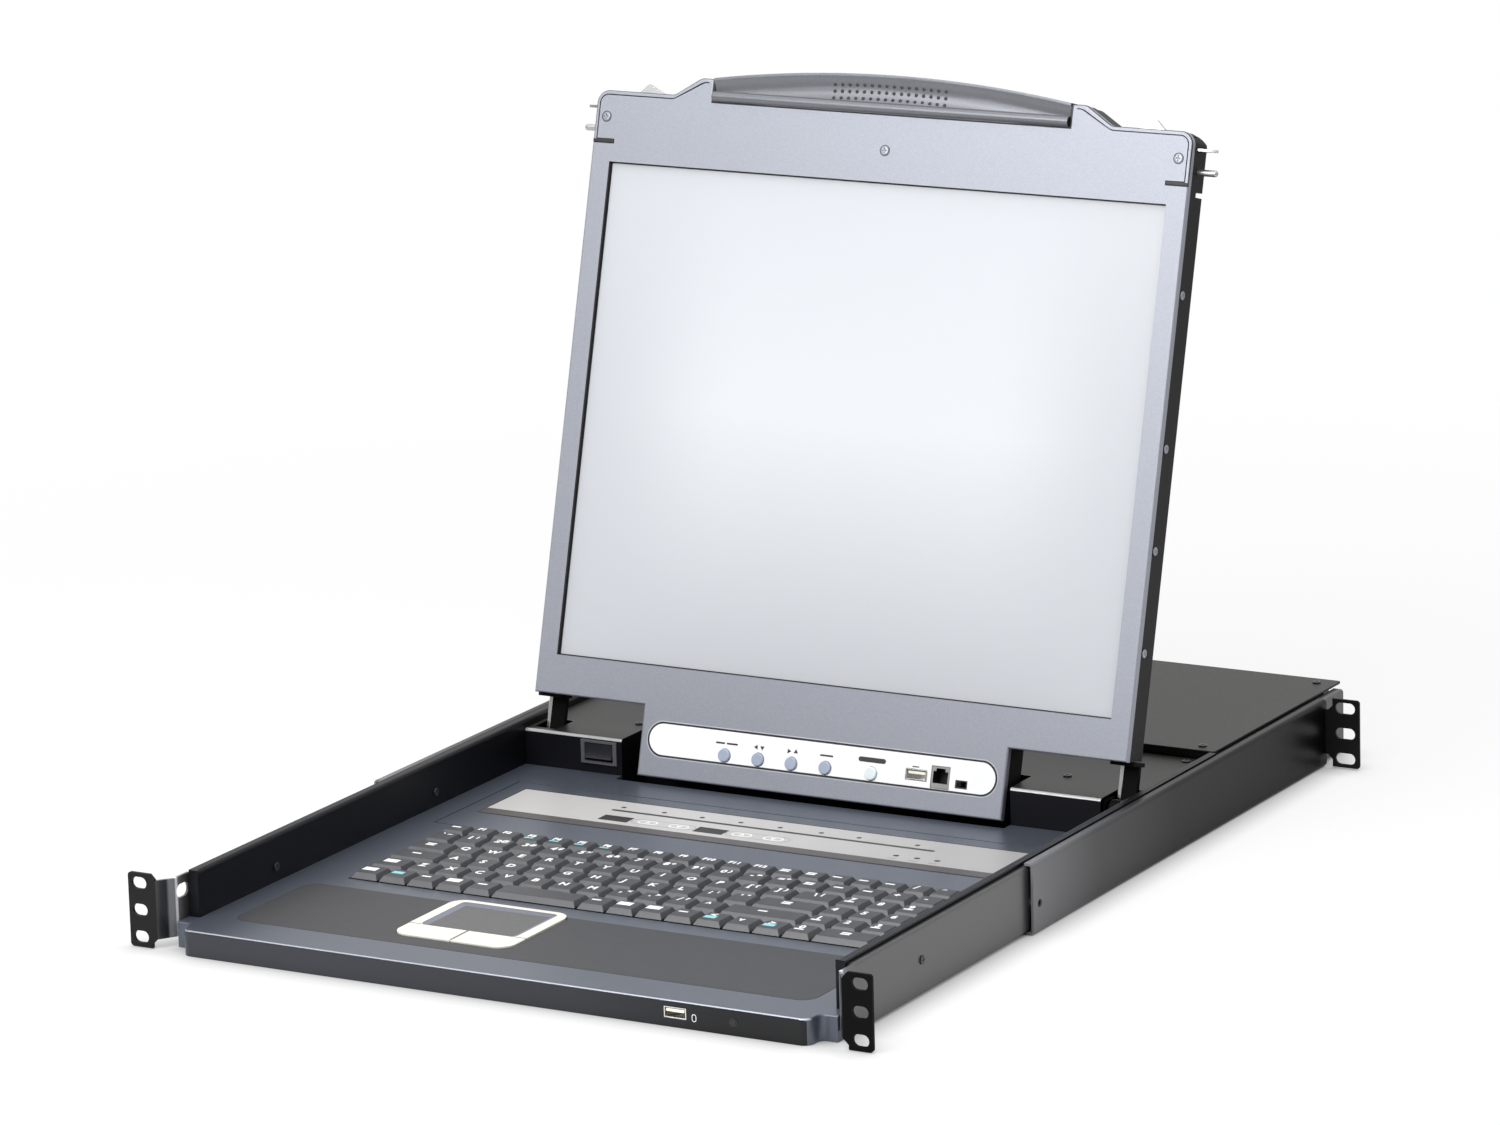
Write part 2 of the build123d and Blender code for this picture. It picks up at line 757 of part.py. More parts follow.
# Cover over the drawer's rear, folded down in front and around the tongue's bay
def rear_deck_cover():
    under = cover_top - cover_sheet
    foot = tray_floor + deck_gap
    side = tray_half - deck_gap
    cover = block(-side, side, apron_front, tray_rear, under, cover_top)
    cover -= block(left_apron_inner, right_apron_inner, apron_front - 1, bay_rear,
                   under - 1, cover_top + 1)
    cover += block(-side, left_apron_inner, apron_front, apron_front + cover_sheet, foot, cover_top)
    cover += block(right_apron_inner, right_apron_outer, apron_front, apron_front + cover_sheet,
                   foot, cover_top)
    cover += block(left_apron_inner - cover_sheet, left_apron_inner, apron_front, bay_rear,
                   foot, cover_top)
    cover += block(right_apron_inner, right_apron_inner + cover_sheet, apron_front, bay_rear,
                   foot, cover_top)
    cover += block(left_apron_inner - cover_sheet, right_apron_inner + cover_sheet, bay_rear,
                   bay_rear + cover_sheet, foot, cover_top)
    cover -= block(right_apron_outer, side + 1, apron_front - 1, hinge_slot_rear,
                   under - 1, cover_top + 1)
    cover -= block(-arm_right - 2, -arm_left + 2, hinge_slot_front, hinge_slot_rear,
                   under - 1, cover_top + 1)
    front_edges = []
    for edge in cover.edges().filter_by(Axis.X):
        middle = edge.center()
        if abs(middle.Y - apron_front) < 0.01 and abs(middle.Z - cover_top) < 0.01:
            front_edges.append(edge)
    cover = fillet(front_edges, cover_sheet * 1.9)
    half_width = rocker_body[0] / 2 + port_clearance
    half_height = rocker_body[1] / 2 + port_clearance
    return cover - block(rocker_x - half_width, rocker_x + half_width, apron_front - 1,
                         apron_front + cover_sheet + 0.1, rocker_z - half_height, rocker_z + half_height)


nodes["rear_deck_cover"] = rear_deck_cover()

# Rocker switch: housing through the apron and a paddle on two trunnions
rocker_depth = 15.0
pivot_y = apron_front + rocker_pivot_in


def rocker_housing():
    frame_w, frame_h = rocker_frame
    body_w, body_h = rocker_body
    well_w, well_h = rocker_well
    housing = block(rocker_x - frame_w / 2, rocker_x + frame_w / 2, apron_front - 1.5, apron_front,
                    rocker_z - frame_h / 2, rocker_z + frame_h / 2)
    housing += block(rocker_x - body_w / 2, rocker_x + body_w / 2, apron_front - 0.5,
                     apron_front + rocker_depth, rocker_z - body_h / 2, rocker_z + body_h / 2)
    housing -= block(rocker_x - well_w / 2, rocker_x + well_w / 2, apron_front - 2,
                     apron_front + rocker_depth - 3, rocker_z - well_h / 2, rocker_z + well_h / 2)
    reach = well_w / 2 + 1.0
    return housing - rod_x(rocker_x - reach, rocker_x + reach, pivot_y, rocker_z, 1.05)


nodes["rocker_housing"] = rocker_housing()


def power_rocker():
    width, height = rocker_paddle
    front = -rocker_pivot_in - 2.3
    profile = [
        (front, -height / 2), (front + 1.2, 0), (front, height / 2),
        (1.5, height / 3), (1.5, -height / 3),
    ]
    points = [(-width / 2, y, z) for y, z in profile]
    paddle = prism(points, (1, 0, 0), width)
    reach = rocker_well[0] / 2 + 0.7
    paddle += rod_x(-reach, reach, 0, 0, 1.0)
    return Pos(rocker_x, pivot_y, rocker_z) * Rot(-rocker_tilt, 0, 0) * paddle


nodes["power_rocker"] = power_rocker()


# Hinge bracket on the tray's floor with the fixed hinge pin
def hinge_bracket():
    inner_low = arm_left - 4
    outer_high = arm_right + 4
    bracket = block(inner_low, outer_high, hinge_y - 6, hinge_y + 12, tray_floor, tray_floor + 2)
    for x in (inner_low, outer_high - 3):
        bracket += block(x, x + 3, hinge_y - 5, hinge_y + 7, tray_floor, hinge_z + 4.5)
    return bracket + rod_x(inner_low, outer_high, hinge_y, hinge_z, hinge_pin_radius)


add_pair("hinge_bracket", hinge_bracket())

# The lid's own frame: X across, Y up the screen, Z out of the bezel
lean = radians(180 - open_angle)
up = (0, cos(lean), sin(lean))
out = (0, -sin(lean), cos(lean))
lid_origin_y = hinge_y - axis_up * up[1] - axis_in * out[1]
lid_origin_z = hinge_z - axis_up * up[2] - axis_in * out[2]
lid = Plane(origin=(0, lid_origin_y, lid_origin_z), x_dir=(1, 0, 0), z_dir=out).location


def lid_outline(inset):
    notch = handle_half + 0.4
    right_side = [
        (tongue_half - inset, tongue_bottom + inset), (tongue_half - inset, lid_bottom + inset),
        (lid_half - inset, lid_bottom + inset), (lid_half - inset, lid_top - inset),
        (shoulder_foot, lid_top - inset), (shoulder_half - inset, shoulder_top - inset),
        (notch + inset, shoulder_top - inset), (notch + inset, handle_seat - inset),
    ]
    left_side = [(-x, y) for x, y in reversed(right_side)]
    outline = make_face(Polyline(*right_side, *left_side, close=True))
    corners = [v for v in outline.vertices() if abs(abs(v.X) - lid_half + inset) < 0.01 and v.Y > 0]
    outline = fillet(corners, lid_corner - inset)
    slopes = []
    for vertex in outline.vertices():
        at_foot = abs(abs(vertex.X) - shoulder_foot) < 0.01
        at_top = abs(abs(vertex.X) - shoulder_half + inset) < 0.01 and vertex.Y > lid_top
        if at_foot or at_top:
            slopes.append(vertex)
    return fillet(slopes, lid_corner)


def strip_pill(grow, low, high):
    pill = SlotOverall(2 * (strip_half + grow), strip_height + 2 * grow)
    return Pos(0, strip_middle, low) * extrude(pill, amount=high - low)


def strip_cuts(low, high):
    cuts = []
    for x in button_places + (power_button_place,):
        cuts.append(rod_z(x, button_height, low, high, button_radius + button_clearance))
    for x, size in ((usb_place, usb_size), (phone_place, phone_size)):
        half_w = size[0] / 2 + port_clearance
        half_h = size[1] / 2 + port_clearance
        cuts.append(block(x - half_w, x + half_w, port_height - half_h, port_height + half_h, low, high))
    half = slide_nub / 2 + slide_travel / 2 + port_clearance
    half_height = slide_nub / 2 + port_clearance
    cuts.append(block(switch_place - half, switch_place + half, button_height - half_height,
                      button_height + half_height, low, high))
    return cuts


port_height = -46.0
slide_nub = 3.0


# Seam that sets off a rim round each upper corner, and ends round a short bar of the rim
def bezel_seam():
    low, high = -seam_depth, 1
    bar_inner = lid_half - rim_bar_length
    line = bar_inner - seam_width
    ring = lid_outline(seam_inset) - lid_outline(seam_inset + seam_width)
    seam = Pos(0, 0, low) * extrude(ring, amount=high - low)
    handle_end = handle_half + seam_inset + 2 * seam_width
    seam &= block(handle_end, lid_half + 1, rim_bar_high, shoulder_top + 1, low, high)
    seam += block(line, lid_half - seam_inset, rim_bar_high, rim_bar_high + seam_width, low, high)
    seam += block(line, bar_inner, rim_bar_low - seam_width, rim_bar_high + seam_width, low, high)
    return seam + block(line, lid_half + 1, rim_bar_low - seam_width, rim_bar_low, low, high)


# Bezel: front frame of the display with its tongue, window and recess for the strip
bezel = Pos(0, 0, -bezel_thickness) * extrude(lid_outline(0), amount=bezel_thickness)
bezel = fillet(bezel.faces().sort_by(Axis.Z)[-1].outer_wire().edges(), 1.2)
bezel -= block(-screen_width / 2, screen_width / 2, 0, screen_height, -bezel_thickness - 1, 1)
bezel -= strip_pill(0.2, -strip_recess, 1)
for cut in strip_cuts(-bezel_thickness - 1, 1):
    bezel -= cut
seam = bezel_seam()
bezel -= seam
bezel -= mirrored(seam)
nodes["lid_bezel"] = lid * bezel

strip_plate = strip_pill(0, -strip_recess, 0.2)
for cut in strip_cuts(-bezel_thickness - 1, 1):
    strip_plate -= cut
nodes["control_strip"] = lid * strip_plate


# Rear cover of the display: a tub that wraps the sides, rounded under the hinge axis
def lid_rear_cover():
    back = -lid_thickness
    front = -bezel_thickness
    tub = Pos(0, 0, cover_step_at) * extrude(lid_outline(cover_inset), amount=front - cover_step_at)
    tub += Pos(0, 0, back) * extrude(lid_outline(cover_inset + cover_step), amount=cover_step_at - back)
    heel = block(-tongue_half - 1, tongue_half + 1, tongue_bottom - 1, axis_up, back - 1, axis_in)
    heel -= rod_x(-tongue_half - 2, tongue_half + 2, axis_up, axis_in, tongue_round)
    tub -= heel
    wall = lid_wall + cover_inset
    inside = lid_half - wall
    tub -= block(-inside, inside, lid_bottom + wall, lid_top - wall, corner_slope_front, front + 1)
    tub -= block(-inside, inside, lid_bottom + wall, lid_top - corner_slope_drop - wall,
                 back + lid_wall, corner_slope_front)
    tub -= block(-tongue_half + wall, tongue_half - wall, tongue_bottom + 5, lid_bottom + wall + 1,
                 back + 5, front + 1)
    side_cuts = corner_slope() + catch_cuts()
    boss, notch = side_notch()
    for shape in (boss, mirrored(boss)):
        tub += shape
    for shape in (notch, mirrored(notch), side_cuts, mirrored(side_cuts)):
        tub -= shape
    return tub


# The cover's upper corner slopes down to the back
def corner_slope():
    back = -lid_thickness
    fall = corner_slope_drop / (corner_slope_front - back)
    profile = [
        (lid_top + fall, corner_slope_front + 1), (lid_top + 3, back - 1),
        (lid_top - corner_slope_drop - fall, back - 1),
    ]
    points = [(shoulder_foot, y, z) for y, z in profile]
    return prism(points, (1, 0, 0), lid_half + 1 - shoulder_foot)


# A notch in the cover's side, with a boss behind it that keeps the cover closed
def side_notch():
    back = -lid_thickness
    boss_front = -bezel_thickness - module_depth - 0.5
    rib = 3.0
    inner = lid_half - side_notch_deep
    boss = block(inner - rib, lid_half - lid_wall, side_notch_low - rib, side_notch_high + rib,
                 back + lid_wall / 2, boss_front)
    notch = block(inner, lid_half + 1, side_notch_low, side_notch_high, back - 1, boss_front - 1)
    return boss, notch


# Slots in the cover for the right catch: the lever above, the pin and the blade at the side
def catch_cuts():
    gap = port_clearance
    half = catch_sheet / 2 + gap
    blade_half = catch_blade_sheet / 2 + gap
    cuts = block(lever_left - catch_in - gap, lever_right + catch_out + gap, catch_high, lid_top + 1,
                 catch_depth - half, catch_depth + half)
    wall_low, wall_high = lid_half - 5, lid_half + 1
    cuts += rod_x(wall_low, wall_high, catch_pin_up, catch_depth, catch_pin_radius + gap)
    blade_low = catch_outer - 1 - catch_in - gap
    return cuts + block(blade_low, wall_high, catch_blade_up - blade_half, catch_blade_up + blade_half,
                        catch_depth - catch_blade_half - gap, catch_depth + catch_blade_half + gap)


nodes["lid_rear_cover"] = lid * lid_rear_cover()


# Right catch: a plate in the cover, a ramp to push, a round-nosed pin and a pointed guide blade
def release_catch():
    back = catch_depth - catch_sheet / 2
    root = catch_outer - 1
    catch = block(catch_inner, catch_outer, catch_low, catch_high, back, back + catch_sheet)
    ramp = [
        (lever_left, catch_high - 1), (lever_right, catch_high - 1), (lever_right, lid_top + 0.4),
        (lever_peak, lever_top), (lever_left, lid_top + 0.4),
    ]
    catch += prism([(x, y, back) for x, y in ramp], (0, 0, 1), catch_sheet)
    pin = rod_x(root, catch_tip, catch_pin_up, catch_depth, catch_pin_radius)
    catch += fillet(pin.edges().sort_by(Axis.X)[-1], catch_pin_radius * 0.8)
    taper = lid_half + 2
    blade = [
        (root, -catch_blade_half), (taper, -catch_blade_half), (catch_tip - 1, 0),
        (taper, catch_blade_half), (root, catch_blade_half),
    ]
    blade_low = catch_blade_up - catch_blade_sheet / 2
    points = [(x, blade_low, catch_depth + z) for x, z in blade]
    return catch + prism(points, (0, 1, 0), catch_blade_sheet)


catch = release_catch()
nodes["right_release_catch"] = lid * catch
nodes["left_release_catch"] = lid * mirrored(catch)


# Display module: glass in the window, metal case behind the bezel
glass_gap = 0.2
glass = block(-screen_width / 2 + glass_gap, screen_width / 2 - glass_gap, glass_gap,
              screen_height - glass_gap, -bezel_thickness, -screen_recess)
case = block(-screen_width / 2 - module_margin, screen_width / 2 + module_margin, -module_margin,
             screen_height + module_margin, -bezel_thickness - module_depth, -bezel_thickness)
nodes["lcd_panel"] = lid * (glass + case)

# A board on four square posts: the posts run from one level to the other
def board_on_posts(x, y, size, board_low, post_low, post_high):
    half_w, half_d = size[0] / 2, size[1] / 2
    board = block(x - half_w, x + half_w, y - half_d, y + half_d, board_low, board_low + board_sheet)
    half = post_size / 2
    for side_x in (-1, 1):
        for side_y in (-1, 1):
            post_x = x + side_x * (half_w - post_inset)
            post_y = y + side_y * (half_d - post_inset)
            board += block(post_x - half, post_x + half, post_y - half, post_y + half, post_low, post_high)
    return board


# Driver board behind the panel
module_back = -bezel_thickness - module_depth
driver_face = module_back - display_board_lift
nodes["display_board"] = lid * board_on_posts(*display_board_centre, display_board_size,
                                              driver_face - board_sheet, driver_face, module_back)


# Handle: an arched grip along the top edge, hollowed in front above a rounded bar
def lid_handle():
    seat = Line((-handle_half, handle_seat), (handle_half, handle_seat))
    right = Line((handle_half, handle_seat), (handle_half, handle_end_top))
    arch = ThreePointArc((handle_half, handle_end_top), (0, handle_mid_top), (-handle_half, handle_end_top))
    left = Line((-handle_half, handle_end_top), (-handle_half, handle_seat))
    face = make_face([seat, right, arch, left])
    grip = Pos(0, 0, handle_back) * extrude(face, amount=handle_proud - handle_back)
    top_edges = [e for e in grip.edges() if e.center().Y > handle_end_top and abs(e.center().X) < 1]
    back_edge = [e for e in top_edges if e.center().Z < 0]
    grip = fillet(back_edge, 4.0)
    arch_rise = handle_mid_top - handle_end_top
    arch_radius = (handle_half ** 2 + arch_rise ** 2) / (2 * arch_rise)
    scoop_out = handle_proud + handle_scoop_radius - handle_scoop_depth
    scoop_half = (handle_scoop_radius ** 2 - (handle_scoop_radius - handle_scoop_depth) ** 2) ** 0.5
    scoop_sweep = arch_radius - handle_rim - scoop_half
    grip -= Pos(0, handle_mid_top - arch_radius, scoop_out) * Torus(scoop_sweep, handle_scoop_radius)
    bar_up = handle_seat + handle_bar_radius
    bar = rod_x(-handle_half, handle_half, bar_up, 0, handle_bar_radius)
    return grip + fillet(bar.edges(), handle_bar_radius / 3)


nodes["lid_handle"] = lid * lid_handle()


# Hinge arm: a foot under the display, a strip down its back and a knuckle on the hinge pin
def hinge_arm():
    back = -lid_thickness + 0.2
    strip_front = back + arm_thickness
    foot_top = lid_bottom + 0.3
    arm = block(arm_left - 2, arm_right + 2, foot_top - 2.5, foot_top, back, back + 14)
    arm += block(arm_left, arm_right, axis_up - 5, foot_top, back, strip_front)
    arm += block(arm_left + 1, arm_right - 1, axis_up - 5, axis_up + 2.5, back, axis_in)
    arm += rod_x(arm_left + 1, arm_right - 1, axis_up, axis_in, knuckle_radius)
    return arm - rod_x(arm_left, arm_right, axis_up, axis_in, hinge_pin_radius + hinge_pin_clearance)


arm = hinge_arm()
nodes["right_hinge_arm"] = lid * arm
nodes["left_hinge_arm"] = lid * mirrored(arm)


# Buttons of the control strip: a cap through the bezel and a flange that keeps it in
button_play = 0.3
flange_top = -bezel_thickness - button_play


def strip_button(x):
    button = rod_z(x, button_height, flange_top - 1, button_proud, button_radius)
    button = fillet(button.edges().sort_by(Axis.Z)[-1], 0.8)
    button += rod_z(x, button_height, flange_top - 1, flange_top, button_radius + 1)
    return button + rod_z(x, button_height, board_front + 0.8, flange_top - 1, 1.5)


for count, place in enumerate(button_places, start=1):
    nodes["osd_button_" + str(count)] = lid * strip_button(place)
nodes["panel_power_button"] = lid * strip_button(power_button_place)


# Board behind the strip, on four posts, notched for the sockets
def strip_board():
    left, right = button_places[0] - strip_board_left_gap, switch_place + strip_board_right_gap
    low, high = strip_middle - strip_board_half, strip_middle + strip_board_half
    board = block(left, right, low, high, board_front - board_sheet, board_front)
    for x in (left + strip_post_inset, right - strip_post_inset):
        for y in (low + strip_post_inset, high - strip_post_inset):
            board += rod_z(x, y, board_front, -bezel_thickness, strip_post_radius)
    for x, size in ((usb_place, usb_size), (phone_place, phone_size)):
        half_w = size[0] / 2 + port_clearance
        half_h = size[1] / 2 + port_clearance
        board -= block(x - half_w, x + half_w, port_height - half_h, port_height + half_h,
                       board_front - 5, board_front + 1)
    return board


nodes["strip_board"] = lid * strip_board()
nodes["strip_usb_port"] = lid * (Pos(usb_place, port_height, 0) * usb_socket(usb_depth - 1))


# Telephone-style jack with a notch for the plug's latch
def phone_jack():
    width, height = phone_size
    mouth_w, mouth_h = phone_mouth
    jack = block(-width / 2, width / 2, -height / 2, height / 2, -phone_depth, 0)
    jack -= block(-mouth_w / 2, mouth_w / 2, -mouth_h / 2, mouth_h / 2, -phone_depth + 2, 1)
    return jack - block(-3, 3, mouth_h / 2 - 1, mouth_h / 2 + 1.8, -phone_depth + 2, 1)


nodes["strip_phone_jack"] = lid * (Pos(phone_place, port_height, 0) * phone_jack())

slide_half = slide_nub / 2
slide_flange = slide_half + slide_travel + 2
nodes["strip_slide_switch"] = lid * (
    block(switch_place - slide_travel / 2 - slide_half, switch_place - slide_travel / 2 + slide_half,
          button_height - slide_half, button_height + slide_half, flange_top, 0.8)
    + block(switch_place - slide_travel / 2 - slide_flange, switch_place - slide_travel / 2 + slide_flange,
            button_height - 4, button_height + 4, flange_top - 1, flange_top))


# Switch chassis: a tub between the outer rails, tied to them by a plate on each side
def switch_chassis():
    floor_z = rail_low
    tie_plate_y = chassis_rear - tie_plate_inset
    tub = block(-chassis_half, chassis_half, chassis_front, chassis_rear, floor_z, chassis_top)
    tub -= block(-chassis_half + chassis_sheet, chassis_half - chassis_sheet, chassis_front + chassis_sheet,
                 chassis_rear - chassis_sheet, floor_z + chassis_sheet, chassis_top + 1)
    for side in (-1, 1):
        x_low, x_high = sorted((side * (chassis_half - 0.5), side * rail_web_inner))
        tub += block(x_low, x_high, tie_plate_y, tie_plate_y + tie_plate_sheet, rail_low + rail_sheet,
                     rail_high - rail_sheet)
    for cut in rear_port_cuts():
        tub -= cut
    return tub


inlet_x = -chassis_half + port_side_inset
inlet_size = (28.0, 20.0)
inlet_z = 0.0
console_x = chassis_half - port_side_inset
console_size = (31.0, 12.5)
port_z = 0.0


def computer_port_places():
    start = -computer_port_pitch * (computer_port_count - 1) / 2
    return [start + computer_port_pitch * count for count in range(computer_port_count)]


def rear_port_cuts():
    cuts = []
    rear = (chassis_rear - 3, chassis_rear + 1)
    places = [(inlet_x, inlet_size, inlet_z), (console_x, console_size, port_z)]
    places += [(x, console_size, port_z) for x in computer_port_places()]
    for x, size, z in places:
        half_w = size[0] / 2 - 2
        half_h = size[1] / 2 - 1.5
        cuts.append(block(x - half_w, x + half_w, rear[0], rear[1], z - half_h, z + half_h))
    return cuts


nodes["switch_chassis"] = switch_chassis()


# Top cover of the switch chassis, a plate that rests on the chassis walls
def switch_top_cover():
    cover = block(-box_cover_half, box_cover_half, box_cover_front, box_cover_rear,
                  chassis_top, chassis_top + box_cover_sheet)
    return fillet(cover.edges().filter_by(Axis.Z), 2.0)


nodes["switch_top_cover"] = switch_top_cover()


# D-shaped socket on the rear wall: flange and shell outside, body inside
def video_socket(x, z):
    width, height = console_size
    flange = block(x - width / 2, x + width / 2, chassis_rear, chassis_rear + 1,
                   z - height / 2, z + height / 2)
    top_half, low_half = 8.2, 7.2
    shell_points = [
        (x - low_half, z - 4), (x + low_half, z - 4), (x + top_half, z + 4), (x - top_half, z + 4),
    ]
    shell = along_y(shell_points, chassis_rear + 1, chassis_rear + 6)
    socket = flange + shell
    body_half_w = width / 2 - 2.3
    body_half_h = height / 2 - 1.8
    return socket + block(x - body_half_w, x + body_half_w, chassis_rear - 10, chassis_rear,
                          z - body_half_h, z + body_half_h)


ports = [video_socket(x, port_z).solid() for x in computer_port_places()]
nodes["computer_ports"] = Compound(children=ports)
nodes["console_port"] = video_socket(console_x, port_z)


# Mains inlet with three blades
def power_inlet():
    width, height = inlet_size
    half_w = width / 2 - 2.3
    half_h = height / 2 - 1.8
    inlet = block(inlet_x - width / 2, inlet_x + width / 2, chassis_rear, chassis_rear + 2,
                  inlet_z - height / 2, inlet_z + height / 2)
    inlet += block(inlet_x - half_w, inlet_x + half_w, chassis_rear - 18, chassis_rear,
                   inlet_z - half_h, inlet_z + half_h)
    inlet -= block(inlet_x - half_w + 1.5, inlet_x + half_w - 1.5, chassis_rear - 15, chassis_rear + 3,
                   inlet_z - half_h + 1.5, inlet_z + half_h - 1.5)
    for x, z in ((-6, -2), (0, 2), (6, -2)):
        inlet += block(inlet_x + x - 0.8, inlet_x + x + 0.8, chassis_rear - 15.5, chassis_rear - 3,
                       inlet_z + z - 2, inlet_z + z + 2)
    return inlet


nodes["power_inlet"] = power_inlet()

# Inside the chassis: main board on the floor and the power supply
chassis_floor = rail_low + chassis_sheet
supply_left = -chassis_half + supply_inset
supply_right = supply_left + supply_width
nodes["power_supply"] = rounded_plate(supply_left, supply_right, chassis_front + supply_inset,
                                      chassis_rear - supply_rear_gap, chassis_floor,
                                      chassis_floor + supply_height, 2.0)


def main_board():
    left = supply_right + supply_board_gap
    right = chassis_half - main_board_side_gap
    front = chassis_front + main_board_front_gap
    rear = chassis_rear - main_board_rear_gap
    x, y = (left + right) / 2, (front + rear) / 2
    low = chassis_floor + main_board_lift
    board = board_on_posts(x, y, (right - left, rear - front), low, chassis_floor, low)
    half = chip_size / 2
    chip_low = low + board_sheet
    return board + block(x - half, x + half, y - half, y + half, chip_low, chip_low + chip_height)


nodes["main_board"] = main_board()


# Small screws: on the covers, the rails and the display
screw_radius = 2.6
screw_height = 0.8
side_screw_places = (40.0, 100.0, 160.0, 250.0)
side_screw_at = (cover_step_at - bezel_thickness) / 2


def screw(place, direction, height):
    head = Pos(0, 0, height / 2) * Cylinder(screw_radius, height)
    return (Plane(origin=place, z_dir=direction).location * head).solid()


box_top = chassis_top + box_cover_sheet
fixed_screws = []
for side in (-1, 1):
    for y in (box_cover_front + 9, box_cover_rear - 10):
        fixed_screws.append(screw((side * (chassis_half - 6), y, box_top), (0, 0, 1), screw_height))
    for y in (rail_screw_front, rail_screw_front + rail_screw_pitch):
        fixed_screws.append(screw((side * rail_outer, y, rail_middle), (side, 0, 0), screw_height))
nodes["chassis_screws"] = Compound(children=fixed_screws)

deck_screws = []
for side in (-1, 1):
    for x, y in ((tray_half - 10, tray_rear - 8), (tray_half - 60, bay_rear + 8)):
        deck_screws.append(screw((side * x, y, cover_top), (0, 0, 1), screw_height))
nodes["deck_screws"] = Compound(children=deck_screws)

lid_screws = []
corner_screw = lid_half - 8
for x, rise in ((-corner_screw, 27.2), (0, 19.0), (corner_screw, 27.2)):
    lid_screws.append(lid * screw((x, screen_height + rise, 0), (0, 0, 1), screw_height / 2))
for side in (-1, 1):
    for y in side_screw_places:
        side_x = side * (lid_half - cover_inset)
        lid_screws.append(lid * screw((side_x, y, side_screw_at), (side, 0, 0), screw_height))
nodes["lid_screws"] = Compound(children=lid_screws)

for name, shape in nodes.items():
    export_step(shape, "parts/" + name + ".step")
print(len(nodes), "nodes")
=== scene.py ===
import bpy
import json
from math import cos, radians, sin, sqrt
from mathutils import Matrix, Vector


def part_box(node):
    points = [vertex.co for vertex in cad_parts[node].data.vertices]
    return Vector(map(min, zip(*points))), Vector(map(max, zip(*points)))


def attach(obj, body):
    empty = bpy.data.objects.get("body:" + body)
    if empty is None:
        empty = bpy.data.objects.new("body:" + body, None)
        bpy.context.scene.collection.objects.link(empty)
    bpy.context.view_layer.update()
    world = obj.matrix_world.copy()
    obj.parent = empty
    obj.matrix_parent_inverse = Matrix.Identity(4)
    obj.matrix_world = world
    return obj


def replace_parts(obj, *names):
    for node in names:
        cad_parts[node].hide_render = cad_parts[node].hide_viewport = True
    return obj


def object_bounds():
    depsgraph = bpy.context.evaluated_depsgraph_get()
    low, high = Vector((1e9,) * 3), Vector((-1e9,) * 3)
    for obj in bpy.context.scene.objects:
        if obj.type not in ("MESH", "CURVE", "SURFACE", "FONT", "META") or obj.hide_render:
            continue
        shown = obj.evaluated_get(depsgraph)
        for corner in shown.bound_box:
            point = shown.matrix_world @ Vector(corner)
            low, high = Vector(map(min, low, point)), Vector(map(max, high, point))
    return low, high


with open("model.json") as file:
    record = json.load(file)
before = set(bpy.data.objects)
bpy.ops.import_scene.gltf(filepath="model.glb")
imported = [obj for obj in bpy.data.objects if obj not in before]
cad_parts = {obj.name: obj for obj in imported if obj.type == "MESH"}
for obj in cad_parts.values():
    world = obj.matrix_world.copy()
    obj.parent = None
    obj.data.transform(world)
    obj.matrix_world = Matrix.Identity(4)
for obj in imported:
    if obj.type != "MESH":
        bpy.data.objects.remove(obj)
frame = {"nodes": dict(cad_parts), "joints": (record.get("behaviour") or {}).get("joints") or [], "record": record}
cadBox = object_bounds()
record = frame["record"]
mm = 0.001
bodyOf = {node: body for body, group in record["behaviour"]["bodies"].items() for node in group}
slotOf = {row["node"]: row["material_slot"] for row in record["subparts"]}
print("frame loaded:", len(frame["nodes"]), "nodes")


# picking and shaping helpers
def clearPick():
    bpy.ops.object.select_all(action="DESELECT")


def pick(piece):
    clearPick()
    piece.select_set(True)
    bpy.context.view_layer.objects.active = piece


def applyModifier(piece, kind, **settings):
    pick(piece)
    modifier = piece.modifiers.new(kind.lower(), kind)
    for key, value in settings.items():
        setattr(modifier, key, value)
    bpy.ops.object.modifier_apply(modifier=modifier.name)


def smoothShade(piece, angle=35):
    pick(piece)
    bpy.ops.object.shade_smooth_by_angle(angle=radians(angle))


def roundEdges(piece, width, steps=2, angle=35):
    applyModifier(piece, "BEVEL", width=width, segments=steps, limit_method="ANGLE",
                  angle_limit=radians(angle), use_clamp_overlap=True)
    smoothShade(piece, angle)
    applyModifier(piece, "WEIGHTED_NORMAL", weight=100, keep_sharp=True)
    return piece


def settle(piece, place=None):
    # puts the piece's place into its mesh, so its object sits at the origin
    pick(piece)
    if place is not None:
        piece.matrix_world = place @ piece.matrix_world
    bpy.ops.object.transform_apply(location=True, rotation=True, scale=True)
    return piece


def addBlock(low, high):
    clearPick()
    middle = [(a + b) / 2 for a, b in zip(low, high)]
    size = [b - a for a, b in zip(low, high)]
    bpy.ops.mesh.primitive_cube_add(size=1, location=middle, scale=size)
    return settle(bpy.context.object)


def addPeg(centre, radius, height, sides=24):
    clearPick()
    bpy.ops.mesh.primitive_cylinder_add(vertices=sides, radius=radius, depth=height, location=centre)
    return settle(bpy.context.object)


def leaveEdit():
    bpy.ops.object.mode_set(mode="OBJECT")


